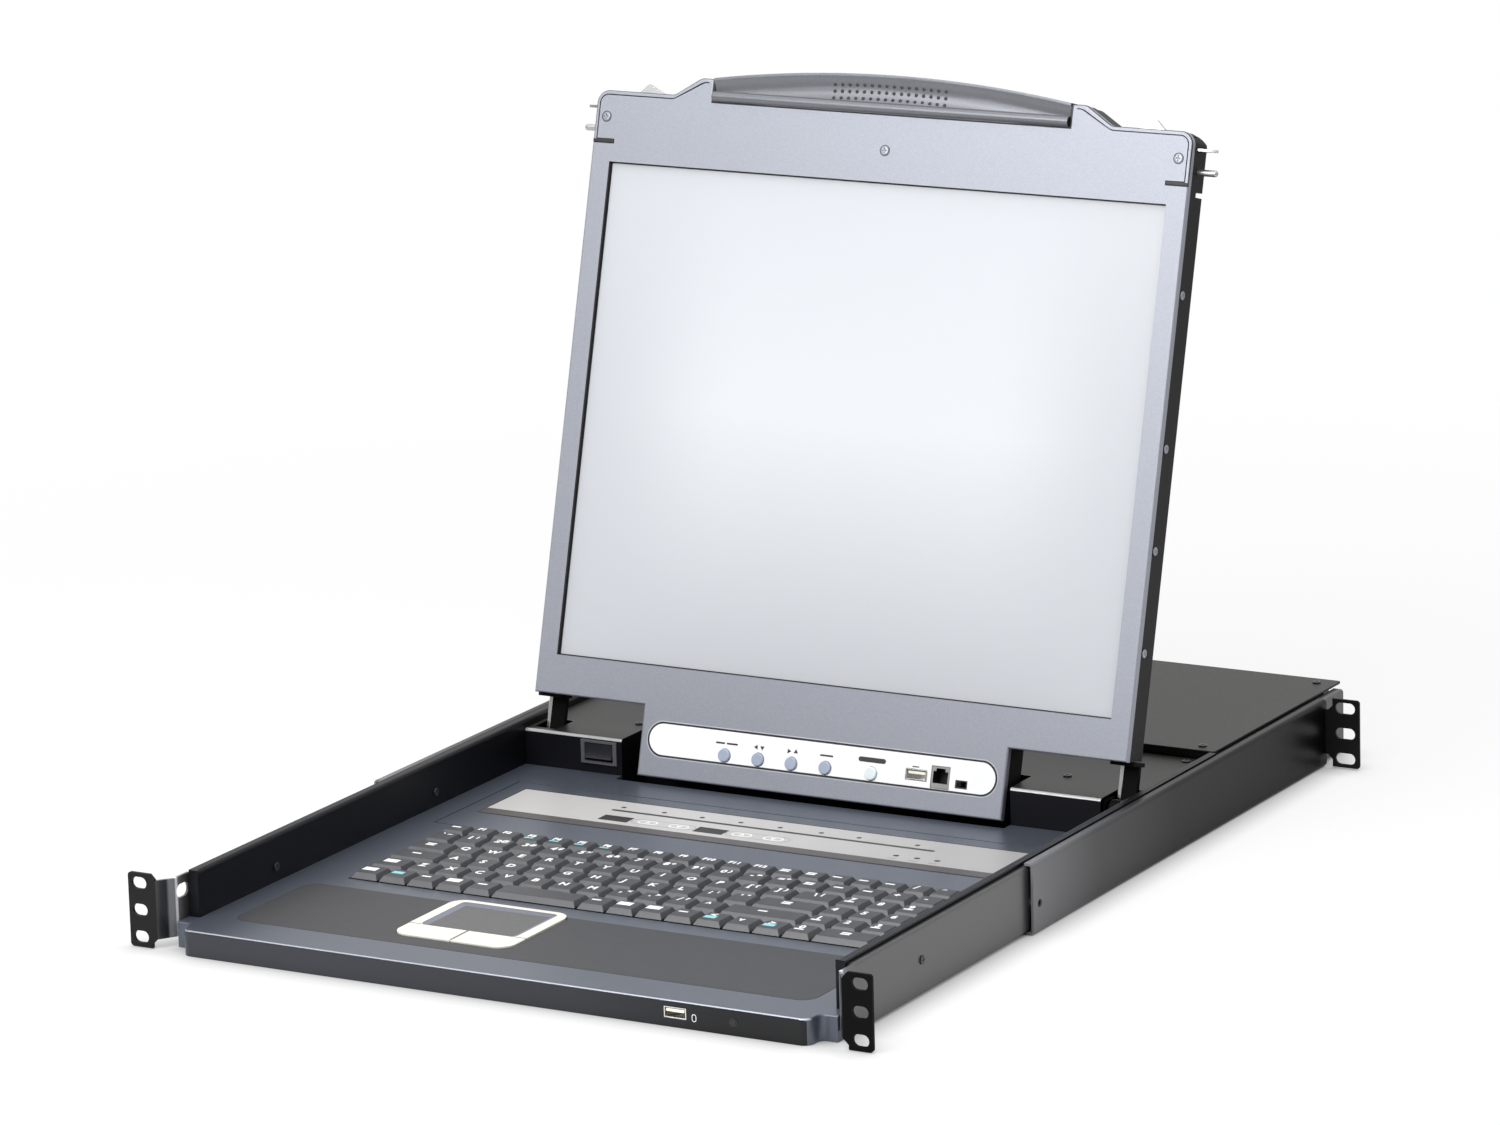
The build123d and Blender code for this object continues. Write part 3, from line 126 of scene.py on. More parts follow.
def movePoints(piece, test, shift, scale=None):
    # moves the points that pass the test, and scales them about their middle
    pick(piece)
    bpy.ops.object.mode_set(mode="EDIT")
    bpy.ops.mesh.select_mode(type="VERT")
    bpy.ops.mesh.select_all(action="DESELECT")
    leaveEdit()
    for point in piece.data.vertices:
        point.select = test(point.co)
    bpy.ops.object.mode_set(mode="EDIT")
    if scale:
        bpy.ops.transform.resize(value=scale)
    bpy.ops.transform.translate(value=shift)
    leaveEdit()


def cutAway(piece, cutter):
    applyModifier(piece, "BOOLEAN", object=cutter, operation="DIFFERENCE", solver="EXACT")
    bpy.data.objects.remove(cutter)
    return piece


def addPill(centre, half, radius, height):
    # a flat bar with round ends
    pill = addPeg((0, 0, 0), radius, height, 40)
    for side in (-1, 1):
        movePoints(pill, lambda spot: side * spot.x > 0.01 * radius, (side * (half - radius), 0, 0))
    pill.location = centre
    return settle(pill)


def addPillRing(centre, half, radius, height, line):
    ring = addPill(centre, half, radius, height)
    return cutAway(ring, addPill(centre, half - line, radius - line, 3 * height))


def addCircle(centre, radius, height, line):
    return addPillRing(centre, radius, radius - 0.01 * mm, height, line)


def addFrame(low, high, line):
    deep = high[2] - low[2]
    innerLow = (low[0] + line, low[1] + line, low[2] - deep)
    innerHigh = (high[0] - line, high[1] - line, high[2] + deep)
    return cutAway(addBlock(low, high), addBlock(innerLow, innerHigh))


def addSidePair(look):
    # the same block at the left and at the right
    blocks = []
    for side in (-1, 1):
        ends = sorted((side * look["inner"], side * look["outer"]))
        low = (ends[0], look["low"], look["deep"])
        blocks.append(addBlock(low, (ends[1], look["high"], look["proud"])))
    return blocks


def twinAt(piece, shift):
    twin = piece.copy()
    twin.data = piece.data.copy()
    bpy.context.scene.collection.objects.link(twin)
    twin.location = Vector(twin.location) + Vector(shift)
    return settle(twin)


def joinPieces(group):
    clearPick()
    for piece in group:
        piece.select_set(True)
    bpy.context.view_layer.objects.active = group[0]
    bpy.ops.object.join()
    return group[0]


def dress(piece, name, body, finish):
    piece.name = name
    piece.data.name = name
    piece.data.materials.clear()
    piece.data.materials.append(finish)
    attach(piece, body)
    return piece


def paintFaces(piece, finish, test):
    # a second finish on the faces that pass the test
    piece.data.materials.append(finish)
    index = len(piece.data.materials) - 1
    for face in piece.data.polygons:
        if test(face.center, face.normal):
            face.material_index = index


# the display's own place: x across, y up the screen from its lower edge, z out of the bezel
lidSpot = {"axisBelowScreen": 51 * mm, "axisBehindFace": 11 * mm}
hinge = [joint for joint in frame["joints"] if joint["name"] == "lid_hinge"][0]
lean = radians(180 - hinge["range_deg"][1])
lidUp = Vector((0, cos(lean), sin(lean)))
lidOut = Vector((0, -sin(lean), cos(lean)))
lidCorner = Vector(hinge["pos_m"]) + lidSpot["axisBelowScreen"] * lidUp + lidSpot["axisBehindFace"] * lidOut
lidPlace = Matrix((
    (1, lidUp.x, lidOut.x, lidCorner.x),
    (0, lidUp.y, lidOut.y, lidCorner.y),
    (0, lidUp.z, lidOut.z, lidCorner.z),
    (0, 0, 0, 1),
))


def dressLid(piece, name, finish):
    return dress(settle(piece, lidPlace), name, "display", finish)


# finishes
def startFinish(name, colour, roughness, metallic=0.0, specular=0.5):
    finish = bpy.data.materials.new(name)
    finish.use_nodes = True
    tree = finish.node_tree
    shader = tree.nodes["Principled BSDF"]
    shader.inputs["Base Color"].default_value = (*colour, 1)
    shader.inputs["Roughness"].default_value = roughness
    shader.inputs["Metallic"].default_value = metallic
    shader.inputs["Specular IOR Level"].default_value = specular
    return finish, tree, shader


def addNode(tree, kind):
    return tree.nodes.new("ShaderNode" + kind)


def link(tree, start, end):
    tree.links.new(start, end)


def addPlaced(tree, kind, coordinate="Object", **values):
    # a node that reads the place of each point, such as a texture
    spot = addNode(tree, "TexCoord")
    node = addNode(tree, kind)
    for socket, value in values.items():
        node.inputs[socket].default_value = value
    link(tree, spot.outputs[coordinate], node.inputs["Vector"])
    return node.outputs


def addSpread(tree, source, ends, values=(0.0, 1.0), curve="LINEAR"):
    # maps one range of values to another
    spread = addNode(tree, "MapRange")
    spread.interpolation_type = curve
    spread.inputs["From Min"].default_value, spread.inputs["From Max"].default_value = ends
    spread.inputs["To Min"].default_value, spread.inputs["To Max"].default_value = values
    link(tree, source, spread.inputs["Value"])
    return spread.outputs["Result"]


def addRamp(tree, source, steps):
    # each step is a place from 0 to 1 and its colour
    ramp = addNode(tree, "ValToRGB")
    stops = ramp.color_ramp.elements
    stops.remove(stops[1])
    stops[0].position = steps[0][0]
    stops[0].color = (*steps[0][1], 1)
    for place, colour in steps[1:]:
        stops.new(place).color = (*colour, 1)
    link(tree, source, ramp.inputs["Fac"])
    return ramp.outputs["Color"]


def addMath(tree, operation, first, second=0.0):
    node = addNode(tree, "Math")
    node.operation = operation
    node.use_clamp = True
    for socket, value in zip(node.inputs, (first, second)):
        if isinstance(value, float):
            socket.default_value = value
        else:
            link(tree, value, socket)
    return node.outputs["Value"]


def addMottle(tree, shader, colour, scale, spread):
    # the colour wanders a little over the surface
    noise = addPlaced(tree, "TexNoise", Scale=scale, Detail=3.0)
    dark = [c * (1 - spread) for c in colour]
    light = [min(c * (1 + spread), 1) for c in colour]
    link(tree, addRamp(tree, noise["Fac"], ((0.3, dark), (0.7, light))), shader.inputs["Base Color"])


def addGrain(tree, shader, scale, height, roughness, swing):
    # fine bumps, and a gloss that varies with them
    noise = addPlaced(tree, "TexNoise", Scale=scale, Detail=4.0)
    bump = addNode(tree, "Bump")
    bump.inputs["Strength"].default_value = 0.35
    bump.inputs["Distance"].default_value = height
    link(tree, noise["Fac"], bump.inputs["Height"])
    link(tree, bump.outputs["Normal"], shader.inputs["Normal"])
    gloss = addSpread(tree, noise["Fac"], (0.0, 1.0), (roughness - swing, roughness + swing))
    link(tree, gloss, shader.inputs["Roughness"])


def grainedFinish(name, colour, roughness, metallic=0.0, specular=0.5, scale=900.0, height=0.05 * mm,
                  swing=0.06, spread=0.06):
    finish, tree, shader = startFinish(name, colour, roughness, metallic, specular)
    addMottle(tree, shader, colour, scale / 12, spread)
    addGrain(tree, shader, scale, height, roughness, swing)
    return finish


# satin metallic paint: tiny flakes that tilt, under a clear layer
flakeLook = {"coat": 0.15, "coatRough": 0.25, "flakes": 2600.0, "dark": 0.9, "light": 1.12, "grain": 1500.0,
             "height": 0.02 * mm, "swing": 0.04}


def flakeFinish(name, colour, roughness, metallic):
    finish, tree, shader = startFinish(name, colour, roughness, metallic)
    shader.inputs["Coat Weight"].default_value = flakeLook["coat"]
    shader.inputs["Coat Roughness"].default_value = flakeLook["coatRough"]
    flakes = addPlaced(tree, "TexVoronoi", Scale=flakeLook["flakes"])
    dark = [c * flakeLook["dark"] for c in colour]
    light = [min(c * flakeLook["light"], 1) for c in colour]
    link(tree, addRamp(tree, flakes["Color"], ((0.0, dark), (1.0, light))), shader.inputs["Base Color"])
    addGrain(tree, shader, flakeLook["grain"], flakeLook["height"], roughness, flakeLook["swing"])
    return finish


railBlack = grainedFinish("rail_black_coat", (0.01, 0.01, 0.012), 0.32, specular=0.7)
trayBlack = grainedFinish("tray_black_coat", (0.004, 0.004, 0.006), 0.42, specular=0.2)
earBlack = grainedFinish("ear_black_coat", (0.006, 0.006, 0.007), 0.5, specular=0.22)
coverGrey = grainedFinish("cover_grey_coat", (0.014, 0.012, 0.0098), 0.42, specular=0.28)
slatePaint = flakeFinish("slate_flake_paint", (0.3, 0.314, 0.357), 0.46, 0.65)
# lighter key plastic for the caps' front slopes: painted light
keyFrontLit = grainedFinish("key_front_painted_light", (0.085, 0.086, 0.093), 0.4, specular=0.6, scale=1800.0)
lipEdgeHighlight = flakeFinish("lip_edge_painted_highlight", (0.42, 0.44, 0.5), 0.3, 0.6)
coverEdgeHighlight = grainedFinish("cover_edge_painted_highlight", (0.36, 0.36, 0.37), 0.3, metallic=0.4)
armBlack = grainedFinish("arm_black_coat", (0.004, 0.004, 0.0045), 0.55, specular=0.05)
screwBlack = grainedFinish("screw_black_oxide", (0.07, 0.07, 0.072), 0.35, metallic=0.6)
rimHighlight = grainedFinish("strip_rim_painted_highlight", (0.5, 0.51, 0.55), 0.4)
deckPaint = flakeFinish("deck_slate_paint", (0.092, 0.105, 0.134), 0.38, 0.5)
handlePaint = flakeFinish("handle_charcoal_paint", (0.165, 0.171, 0.189), 0.36, 0.65)
coverBlack = grainedFinish("moulded_black", (0.006, 0.0056, 0.0056), 0.46, specular=0.14)
palmGrain = grainedFinish("palm_grain", (0.036, 0.0362, 0.0395), 0.5, specular=0.42, scale=1600.0,
                          height=0.08 * mm)
keyCharcoal = grainedFinish("key_charcoal_plastic", (0.022, 0.0222, 0.026), 0.4, specular=0.55, scale=1800.0)
legendWhite = grainedFinish("legend_white_ink", (0.88, 0.89, 0.9), 0.5)
legendCyan = grainedFinish("legend_cyan_ink", (0.24, 0.62, 0.68), 0.5)
windowDark = grainedFinish("smoked_window", (0.022, 0.018, 0.016), 0.4, specular=0.25, swing=0.02)
stripSilver = grainedFinish("silver_film", (0.94, 0.95, 0.96), 0.35, swing=0.03, spread=0.02)
inkDark = grainedFinish("dark_ink", (0.035, 0.03, 0.03), 0.5)
inkGrey = grainedFinish("grey_ink", (0.3, 0.29, 0.28), 0.5)
inkPale = grainedFinish("pale_ink", (0.78, 0.78, 0.77), 0.45)
buttonBlue = grainedFinish("button_blue_plastic", (0.36, 0.41, 0.52), 0.4)
buttonWhite = grainedFinish("button_white_plastic", (0.78, 0.85, 0.88), 0.35)
champagne = grainedFinish("champagne_lacquer", (0.82, 0.8, 0.72), 0.35, metallic=0.15, spread=0.03)
padGrey = grainedFinish("pad_grey_film", (0.1, 0.1, 0.1), 0.5, scale=2200.0)
padSlope = flakeFinish("pad_slope_paint", (0.2, 0.21, 0.27), 0.4, 0.5)
nickel = grainedFinish("bright_nickel", (0.75, 0.74, 0.72), 0.2, metallic=1.0, swing=0.05)
zincSteel = grainedFinish("zinc_plate", (0.55, 0.55, 0.54), 0.35, metallic=1.0, scale=600.0)
boardGreen = grainedFinish("board_mask", (0.02, 0.1, 0.05), 0.4)
socketBlack = grainedFinish("socket_black_plastic", (0.012, 0.012, 0.013), 0.45)
supplyMetal = grainedFinish("supply_case_metal", (0.6, 0.6, 0.6), 0.35, metallic=1.0)
rockerGrey = grainedFinish("rocker_charcoal", (0.014, 0.014, 0.018), 0.42, specular=0.35)
frameGrey = grainedFinish("rocker_frame_grey", (0.085, 0.086, 0.093), 0.4)
ivoryPlastic = grainedFinish("contact_ivory", (0.9, 0.86, 0.72), 0.4)
portInsert = grainedFinish("port_insert_plastic", (0.02, 0.028, 0.06), 0.45)
ledLens = grainedFinish("led_lens", (0.008, 0.014, 0.01), 0.2)
slateScrew = grainedFinish("slate_screw_head", (0.32, 0.335, 0.375), 0.4, metallic=0.7)
catchSteel = grainedFinish("catch_steel", (0.45, 0.45, 0.45), 0.32, metallic=1.0)


# pale display film with painted light: brightest in the middle, with painted shade fading a little to its edges
def screenShadedFilm():
    look = {"low": (0.5, 0.517, 0.55), "middle": (0.645, 0.667, 0.7), "high": (0.525, 0.55, 0.585),
            "side": (0.515, 0.537, 0.57), "height": 0.3, "sideFade": (0.08, 0.19), "rough": 0.32}
    finish, tree, shader = startFinish("screen_film_painted_light", look["middle"], look["rough"])
    place = addPlaced(tree, "SeparateXYZ")
    rise = addSpread(tree, place["Z"], (lidCorner.z, lidCorner.z + look["height"]))
    upward = addRamp(tree, rise, ((0.0, look["low"]), (0.5, look["middle"]), (1.0, look["high"])))
    across = addMath(tree, "ABSOLUTE", place["X"])
    blend = addNode(tree, "MixRGB")
    blend.inputs["Color2"].default_value = (*look["side"], 1)
    link(tree, addSpread(tree, across, look["sideFade"], curve="SMOOTHSTEP"), blend.inputs["Fac"])
    link(tree, upward, blend.inputs["Color1"])
    link(tree, blend.outputs["Color"], shader.inputs["Base Color"])
    addGrain(tree, shader, scale=3000.0, height=0.01 * mm, roughness=look["rough"], swing=0.03)
    return finish


# status film: light, with painted shade dimming it to the right, and a dark printed band along its front edge
def panelFilm():
    look = {"light": (0.5, 0.49, 0.48), "dark": (0.065, 0.057, 0.055), "band": 10.5 * mm,
            "fade": (-0.02, 0.18), "rightShade": 0.74, "rough": 0.38}
    finish, tree, shader = startFinish("status_film", look["light"], look["rough"])
    place = addPlaced(tree, "SeparateXYZ")
    behind = addMath(tree, "GREATER_THAN", place["Y"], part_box("status_panel")[0].y + look["band"])
    printed = addRamp(tree, behind, ((0.0, look["dark"]), (1.0, look["light"])))
    shade = addNode(tree, "MixRGB")
    shade.blend_type = "MULTIPLY"
    shade.inputs["Fac"].default_value = 1.0
    link(tree, printed, shade.inputs["Color1"])
    link(tree, addSpread(tree, place["X"], look["fade"], (1.0, look["rightShade"])), shade.inputs["Color2"])
    link(tree, shade.outputs["Color"], shader.inputs["Base Color"])
    addGrain(tree, shader, scale=2600.0, height=0.015 * mm, roughness=look["rough"], swing=0.04)
    return finish


# dark coat with painted light and shade that change along the part
def shadedLengthFinish(name, ends, steps, specular, axis="Y", tint=(1.0, 1.0, 1.05)):
    roughness = 0.32
    shades = [(place, [grey * share for share in tint]) for place, grey in steps]
    finish, tree, shader = startFinish(name, shades[-1][1], roughness, specular=specular)
    along = addSpread(tree, addPlaced(tree, "SeparateXYZ")[axis], ends)
    link(tree, addRamp(tree, along, shades), shader.inputs["Base Color"])
    addGrain(tree, shader, scale=900.0, height=0.05 * mm, roughness=roughness, swing=0.06)
    return finish


# painted highlight: the rail has a bright streak where its sheet bends behind the front ear
railHighlightLook = {"ends": (0.0, 26 * mm), "specular": 0.85,
            "steps": ((0.0, 0.006), (0.13, 0.008), (0.18, 0.2), (0.29, 0.24), (0.31, 0.85), (0.37, 0.8),
                      (0.4, 0.14), (0.6, 0.06), (1.0, 0.04))}
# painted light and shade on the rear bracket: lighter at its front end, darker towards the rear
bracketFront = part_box("right_rear_bracket")[0].y
bracketFade = 0.33
bracketShadeLook = {"ends": (bracketFront, bracketFront + bracketFade), "specular": 0.14,
               "steps": ((0.0, 0.18), (0.25, 0.06), (0.55, 0.012), (1.0, 0.002))}
# painted light and shade on the lip's front face: lighter at its left end, darker to the right, with a blue tint
lipShadeLook = {"ends": (-0.1, 0.19), "specular": 0.35, "axis": "X", "tint": (1.0, 1.08, 1.35),
             "steps": ((0.0, 0.028), (0.55, 0.02), (0.85, 0.004))}
lipShadedPaint = shadedLengthFinish("lip_front_painted_shade", **lipShadeLook)
railHighlightCoat = shadedLengthFinish("rail_coat_painted_highlight", **railHighlightLook)
bracketBlack = shadedLengthFinish("bracket_coat_painted_shade", **bracketShadeLook)
screenPale = screenShadedFilm()
panelLight = panelFilm()
print("finishes ready")


# shells of the rigid parts: each is its own solid with the edges rounded to catch the light
shellEdges = {
    railHighlightCoat: {"left_outer_rail": 0.3, "right_outer_rail": 0.3},
    bracketBlack: {"left_rear_bracket": 0.3, "right_rear_bracket": 0.3},
    railBlack: {"switch_chassis": 0.3},
    armBlack: {"left_hinge_arm": 0.4, "right_hinge_arm": 0.4,
               "left_hinge_bracket": 0.4, "right_hinge_bracket": 0.4},
    trayBlack: {"keyboard_tray": 0.3},
    coverGrey: {"switch_top_cover": 0.4, "rear_deck_cover": 0.35},
    slatePaint: {"lid_bezel": 0.3},
    deckPaint: {"keyboard_deck": 0.3},
    coverBlack: {"lid_rear_cover": 0.5, "key_guide_plate": 0.2, "strip_slide_switch": 0.2},
    rockerGrey: {"power_rocker": 0.4},
    frameGrey: {"rocker_housing": 0.3},
    palmGrain: {"palm_rest_inlay": 0.1},
    panelLight: {"status_panel": 0.1},
    windowDark: {"status_windows": 0.1},
    stripSilver: {"control_strip": 0.12},
    champagne: {"touchpad_frame": 0.5, "touchpad_left_button": 0.4, "touchpad_right_button": 0.4},
    padGrey: {"touchpad": 0.2},
    nickel: {"front_usb_port": 0.1, "strip_usb_port": 0.1, "computer_ports": 0.3, "console_port": 0.3},
    catchSteel: {"left_release_catch": 0.35, "right_release_catch": 0.35},
    socketBlack: {"power_inlet": 0.4},
    inkGrey: {"strip_phone_jack": 0.2},
    handlePaint: {"lid_handle": 0.15},
}


def openSolid(node):
    # a copy of the node's solid, left open in edit mode with its double points joined
    piece = bpy.data.objects.new(node, frame["nodes"][node].data.copy())
    bpy.context.scene.collection.objects.link(piece)
    pick(piece)
    bpy.ops.mesh.customdata_custom_splitnormals_clear()
    bpy.ops.object.mode_set(mode="EDIT")
    bpy.ops.mesh.select_all(action="SELECT")
    bpy.ops.mesh.remove_doubles(threshold=0.005 * mm)
    return piece


def makeShell(node, edge, finish):
    piece = openSolid(node)
    bpy.ops.mesh.dissolve_limited(angle_limit=radians(0.5))
    leaveEdit()
    dress(roundEdges(piece, edge * mm), node + "_shell", bodyOf[node], finish)
    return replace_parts(piece, node)


shells = {}
for finish, group in shellEdges.items():
    for node, edge in group.items():
        shells[node] = makeShell(node, edge, finish)
print("shells:", len(shells))

# second finishes on parts of the shells
shellPaint = {"screenHalf": 188.6 * mm, "screenTop": 302.1 * mm, "screenLow": -0.1 * mm, "earEnd": 0.5 * mm,
              "lipEdge": -1 * mm, "rearEar": 614 * mm, "handleEnd": 120.3 * mm, "padReach": 7 * mm,
              "jackDepth": -0.4 * mm, "seamDepth": (-0.95 * mm, -0.25 * mm), "upright": 0.25, "edgeOn": 0.6,
              "levelTop": 0.97, "jackFront": 0.5, "facingFront": -0.8}
lidBack = lidPlace.inverted()
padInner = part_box("touchpad")


def bezelShadeMask(spot, normal):
    # painted shade: the walls of the window, and the groove of the seam above it, are painted dark
    local = lidBack @ spot
    if local.y > shellPaint["screenTop"]:
        return shellPaint["seamDepth"][0] < local.z < shellPaint["seamDepth"][1]
    inside = abs(local.x) < shellPaint["screenHalf"] and shellPaint["screenLow"] < local.y
    return inside and abs(normal.dot(lidOut)) < shellPaint["edgeOn"]


def padWall(spot, normal):
    reach = shellPaint["padReach"]
    beside = padInner[0].x - reach < spot.x < padInner[1].x + reach
    along = padInner[0].y - reach < spot.y < padInner[1].y + reach
    return normal.z < shellPaint["levelTop"] and beside and along


def jackInside(spot, normal):
    return (lidBack @ spot).z < shellPaint["jackDepth"] or normal.dot(lidOut) < shellPaint["jackFront"]


def frontEdge(spot, normal):
    return normal.y < -shellPaint["upright"] and normal.z > shellPaint["upright"]


def lipEdge(spot, normal):
    return frontEdge(spot, normal) and spot.y < shellPaint["lipEdge"]


def lipFront(spot, normal):
    return normal.y < shellPaint["facingFront"] and spot.y < shellPaint["lipEdge"]


def frontEar(spot, normal):
    return spot.y < shellPaint["earEnd"]


def rearEar(spot, normal):
    return spot.y > shellPaint["rearEar"]


secondPaint = (
    ("lid_bezel", socketBlack, bezelShadeMask),
    # painted shade: the handle's end faces are painted dark, like the gap beside it
    ("lid_handle", coverBlack, lambda spot, normal: abs(spot.x) > shellPaint["handleEnd"]),
    # painted highlight on the lip's top front edge, and painted light and shade on its front face
    ("keyboard_deck", lipEdgeHighlight, lipEdge), ("keyboard_deck", lipShadedPaint, lipFront),
    # painted shade: the cover's upright faces get the darker tray coat
    ("rear_deck_cover", trayBlack, lambda spot, normal: abs(normal.z) < shellPaint["upright"]),
    # painted highlight: the cover's top front edges get a bright coat
    ("rear_deck_cover", coverEdgeHighlight, frontEdge),
    ("touchpad_frame", padSlope, padWall), ("strip_phone_jack", socketBlack, jackInside),
    # painted shade: the right front ear gets the darker arm coat, so it reads darker than the left ear
    ("left_outer_rail", earBlack, frontEar), ("right_outer_rail", armBlack, frontEar),
    ("left_rear_bracket", earBlack, rearEar), ("right_rear_bracket", earBlack, rearEar),
)
for node, finish, test in secondPaint:
    paintFaces(shells[node], finish, test)

plainFinish = {
    "screen_glass": screenPale, "zinc_steel": zincSteel, "board_green": boardGreen,
    "supply_case": supplyMetal, "button_blue": buttonBlue, "button_white": buttonWhite, "led_green": ledLens,
}
for node, solid in frame["nodes"].items():
    if slotOf[node] in plainFinish:
        solid.data.materials.clear()
        solid.data.materials.append(plainFinish[slotOf[node]])


# keys: one cap for each width, copied along its row, with printed legends
keyCap = {"gap": 0.8 * mm, "height": 3.4 * mm, "draft": 2.3 * mm, "lean": 0.4 * mm, "edge": 0.45 * mm,
          "units": 18}
keyWidths = {
    1: [1] * 5 + [3] + [1] * 8 + [2],
    2: [1.25] + [1] * 11 + [2.75] + [1] * 3,
    3: [1.75] + [1] * 11 + [2.25] + [1] * 3,
    4: [1.5] + [1] * 12 + [1.5] + [1] * 3,
    5: [1] * 18,
    6: [0.9] * 20,
}
# a word on the real key becomes a bar; a star adds a cyan bar in front, an underline a white one
keyMarks = {
    1: "box tag bar box bar . bar box box bar <* v >* 0_ bars".split(),
    2: "box Z X C V B N M ,< .> /? ^ bar 1_ 2 3_".split(),
    3: "bar A S D F G H J K L ;: '\" bars 4 5 6".split(),
    4: "bars Q W E R T Y U I O P [{ ]} \\| 7_ 8 9_".split(),
    5: "`~ 1! 2@ 3# 4$ 5% 6& 7' 8+ 9( 0) -= =+ bars bar bar + -".split(),
    6: "bar F1 F2 F3* F4* F5* F6* F7 F8 F9 F10 F11 F12 bars bars bar bar bar / *".split(),
}
markLook = {"size": 7.4 * mm, "small": 5.4 * mm, "second": 5.2 * mm, "thick": 0.04 * mm, "bold": 0.28 * mm,
            "bar": (6.0 * mm, 1.8 * mm), "box": (9.0 * mm, 5.6 * mm), "tag": (7.4 * mm, 4.2 * mm),
            "across": -0.1, "back": 0.1, "step": 2.6 * mm, "aside": 1.6}


def makeCap(width, depth):
    low = (-width / 2, -depth / 2, -keyCap["height"])
    cap = addBlock(low, (width / 2, depth / 2, 0))
    shrink = (1 - 2 * keyCap["draft"] / width, 1 - 2 * keyCap["draft"] / depth, 1)
    movePoints(cap, lambda spot: spot.z > low[2] / 2, (0, keyCap["lean"], 0), shrink)
    return roundEdges(cap, keyCap["edge"])


def makeText(words, size, spot):
    clearPick()
    bpy.ops.object.text_add(location=spot)
    text = bpy.context.object
    text.data.body = words
    text.data.size = size
    text.data.extrude = markLook["thick"]
    text.data.offset = markLook["bold"]
    text.data.resolution_u = 2
    text.data.align_x = text.data.align_y = "CENTER"
    bpy.ops.object.convert(target="MESH")
    bpy.ops.object.mode_set(mode="EDIT")
    bpy.ops.mesh.select_all(action="SELECT")
    bpy.ops.mesh.remove_doubles(threshold=0.001 * mm)
    leaveEdit()
    return settle(bpy.context.object)


def addFlat(kind, x, y, z):
    long, deep = markLook[kind]
    low = (x - long / 2, y - deep / 2, z - markLook["thick"])
    return addBlock(low, (x + long / 2, y + deep / 2, z + markLook["thick"]))


def keyLegend(token, x, y, z):
    # the legend's white and cyan pieces
    step = markLook["step"]
    if token in ("bar", "box"):
        return [addFlat(token, x, y, z)], []
    if token == "bars":
        return [addFlat("bar", x, y + step / 2, z), addFlat("bar", x, y - step / 2, z)], []
    if token == "tag":
        return [], [addFlat("tag", x, y, z)]
    if token[0] == "F" and len(token) > 1:
        white = [makeText(token.rstrip("*"), markLook["small"], (x, y + step / 2, z))]
        return white, [addFlat("bar", x, y - step, z)] if token.endswith("*") else []
    if len(token) == 1:
        return [makeText(token, markLook["size"], (x, y, z))], []
    main, second = token
    white = [makeText(main, markLook["size"], (x, y + step / 2, z))]
    if second == "*":
        return white, [addFlat("tag", x, y - step, z)]
    if second == "_":
        return white + [addFlat("bar", x, y - step, z)], []
    return white + [makeText(second, markLook["second"], (x + markLook["aside"] * step, y + step, z))], []


def makeKeyRow(row):
    node = "key_row_%d" % row
    low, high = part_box(node)
    unit = (high.x - low.x + keyCap["gap"]) / keyCap["units"]
    depth = high.y - low.y
    left = low.x - keyCap["gap"] / 2
    middleY = (low.y + high.y) / 2
    caps, moulds = [], {}
    marks = {legendWhite: [], legendCyan: []}
    for units, mark in zip(keyWidths[row], keyMarks[row]):
        width = units * unit - keyCap["gap"]
        middleX = left + units * unit / 2
        left += units * unit
        if units not in moulds:
            moulds[units] = makeCap(width, depth)
        caps.append(twinAt(moulds[units], (middleX, middleY, high.z)))
        if mark != ".":
            place = (middleX + markLook["across"] * unit, middleY + markLook["back"] * depth, high.z)
            for ink, group in zip(marks, keyLegend(mark, *place)):
                marks[ink] += group
    for mould in moulds.values():
        bpy.data.objects.remove(mould)
    body = bodyOf[node]
    rowPiece = dress(joinPieces(caps), node + "_caps", body, keyCharcoal)
    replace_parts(rowPiece, node)
    # painted light: the caps' front slopes get a lighter plastic
    paintFaces(rowPiece, keyFrontLit, lambda spot, normal: normal.y < -0.5 and normal.z > 0.1)
    for ink, group in marks.items():
        if group:
            name = "%s_%s" % (node, "marks" if ink == legendWhite else "cyan_marks")
            dress(joinPieces(group), name, body, ink)


for row in keyWidths:
    makeKeyRow(row)
print("keys done")


# handle: rows of dark grip dots on its hollow face, dark as painted shade of dimples, and dark blocks beside and
# under it as painted shade in the gap
handleLook = {"columns": 16, "rows": 3, "pitchX": 5.0 * mm, "pitchY": 4.2 * mm, "dot": 1.15 * mm,
              "flat": 0.35, "dotsUp": 355.3 * mm, "dotsX": -1.2 * mm, "archMiddle": -449.2 * mm,
              "archRadius": 805.06 * mm, "hollowRadius": 16.0 * mm, "hollowRise": 14.4 * mm}


def hollowDepth(x, y):
    # how far out of the bezel the hollow face lies
    reach = sqrt(x ** 2 + (y - handleLook["archMiddle"]) ** 2) - handleLook["archRadius"]
    return handleLook["hollowRise"] - sqrt(handleLook["hollowRadius"] ** 2 - reach ** 2)


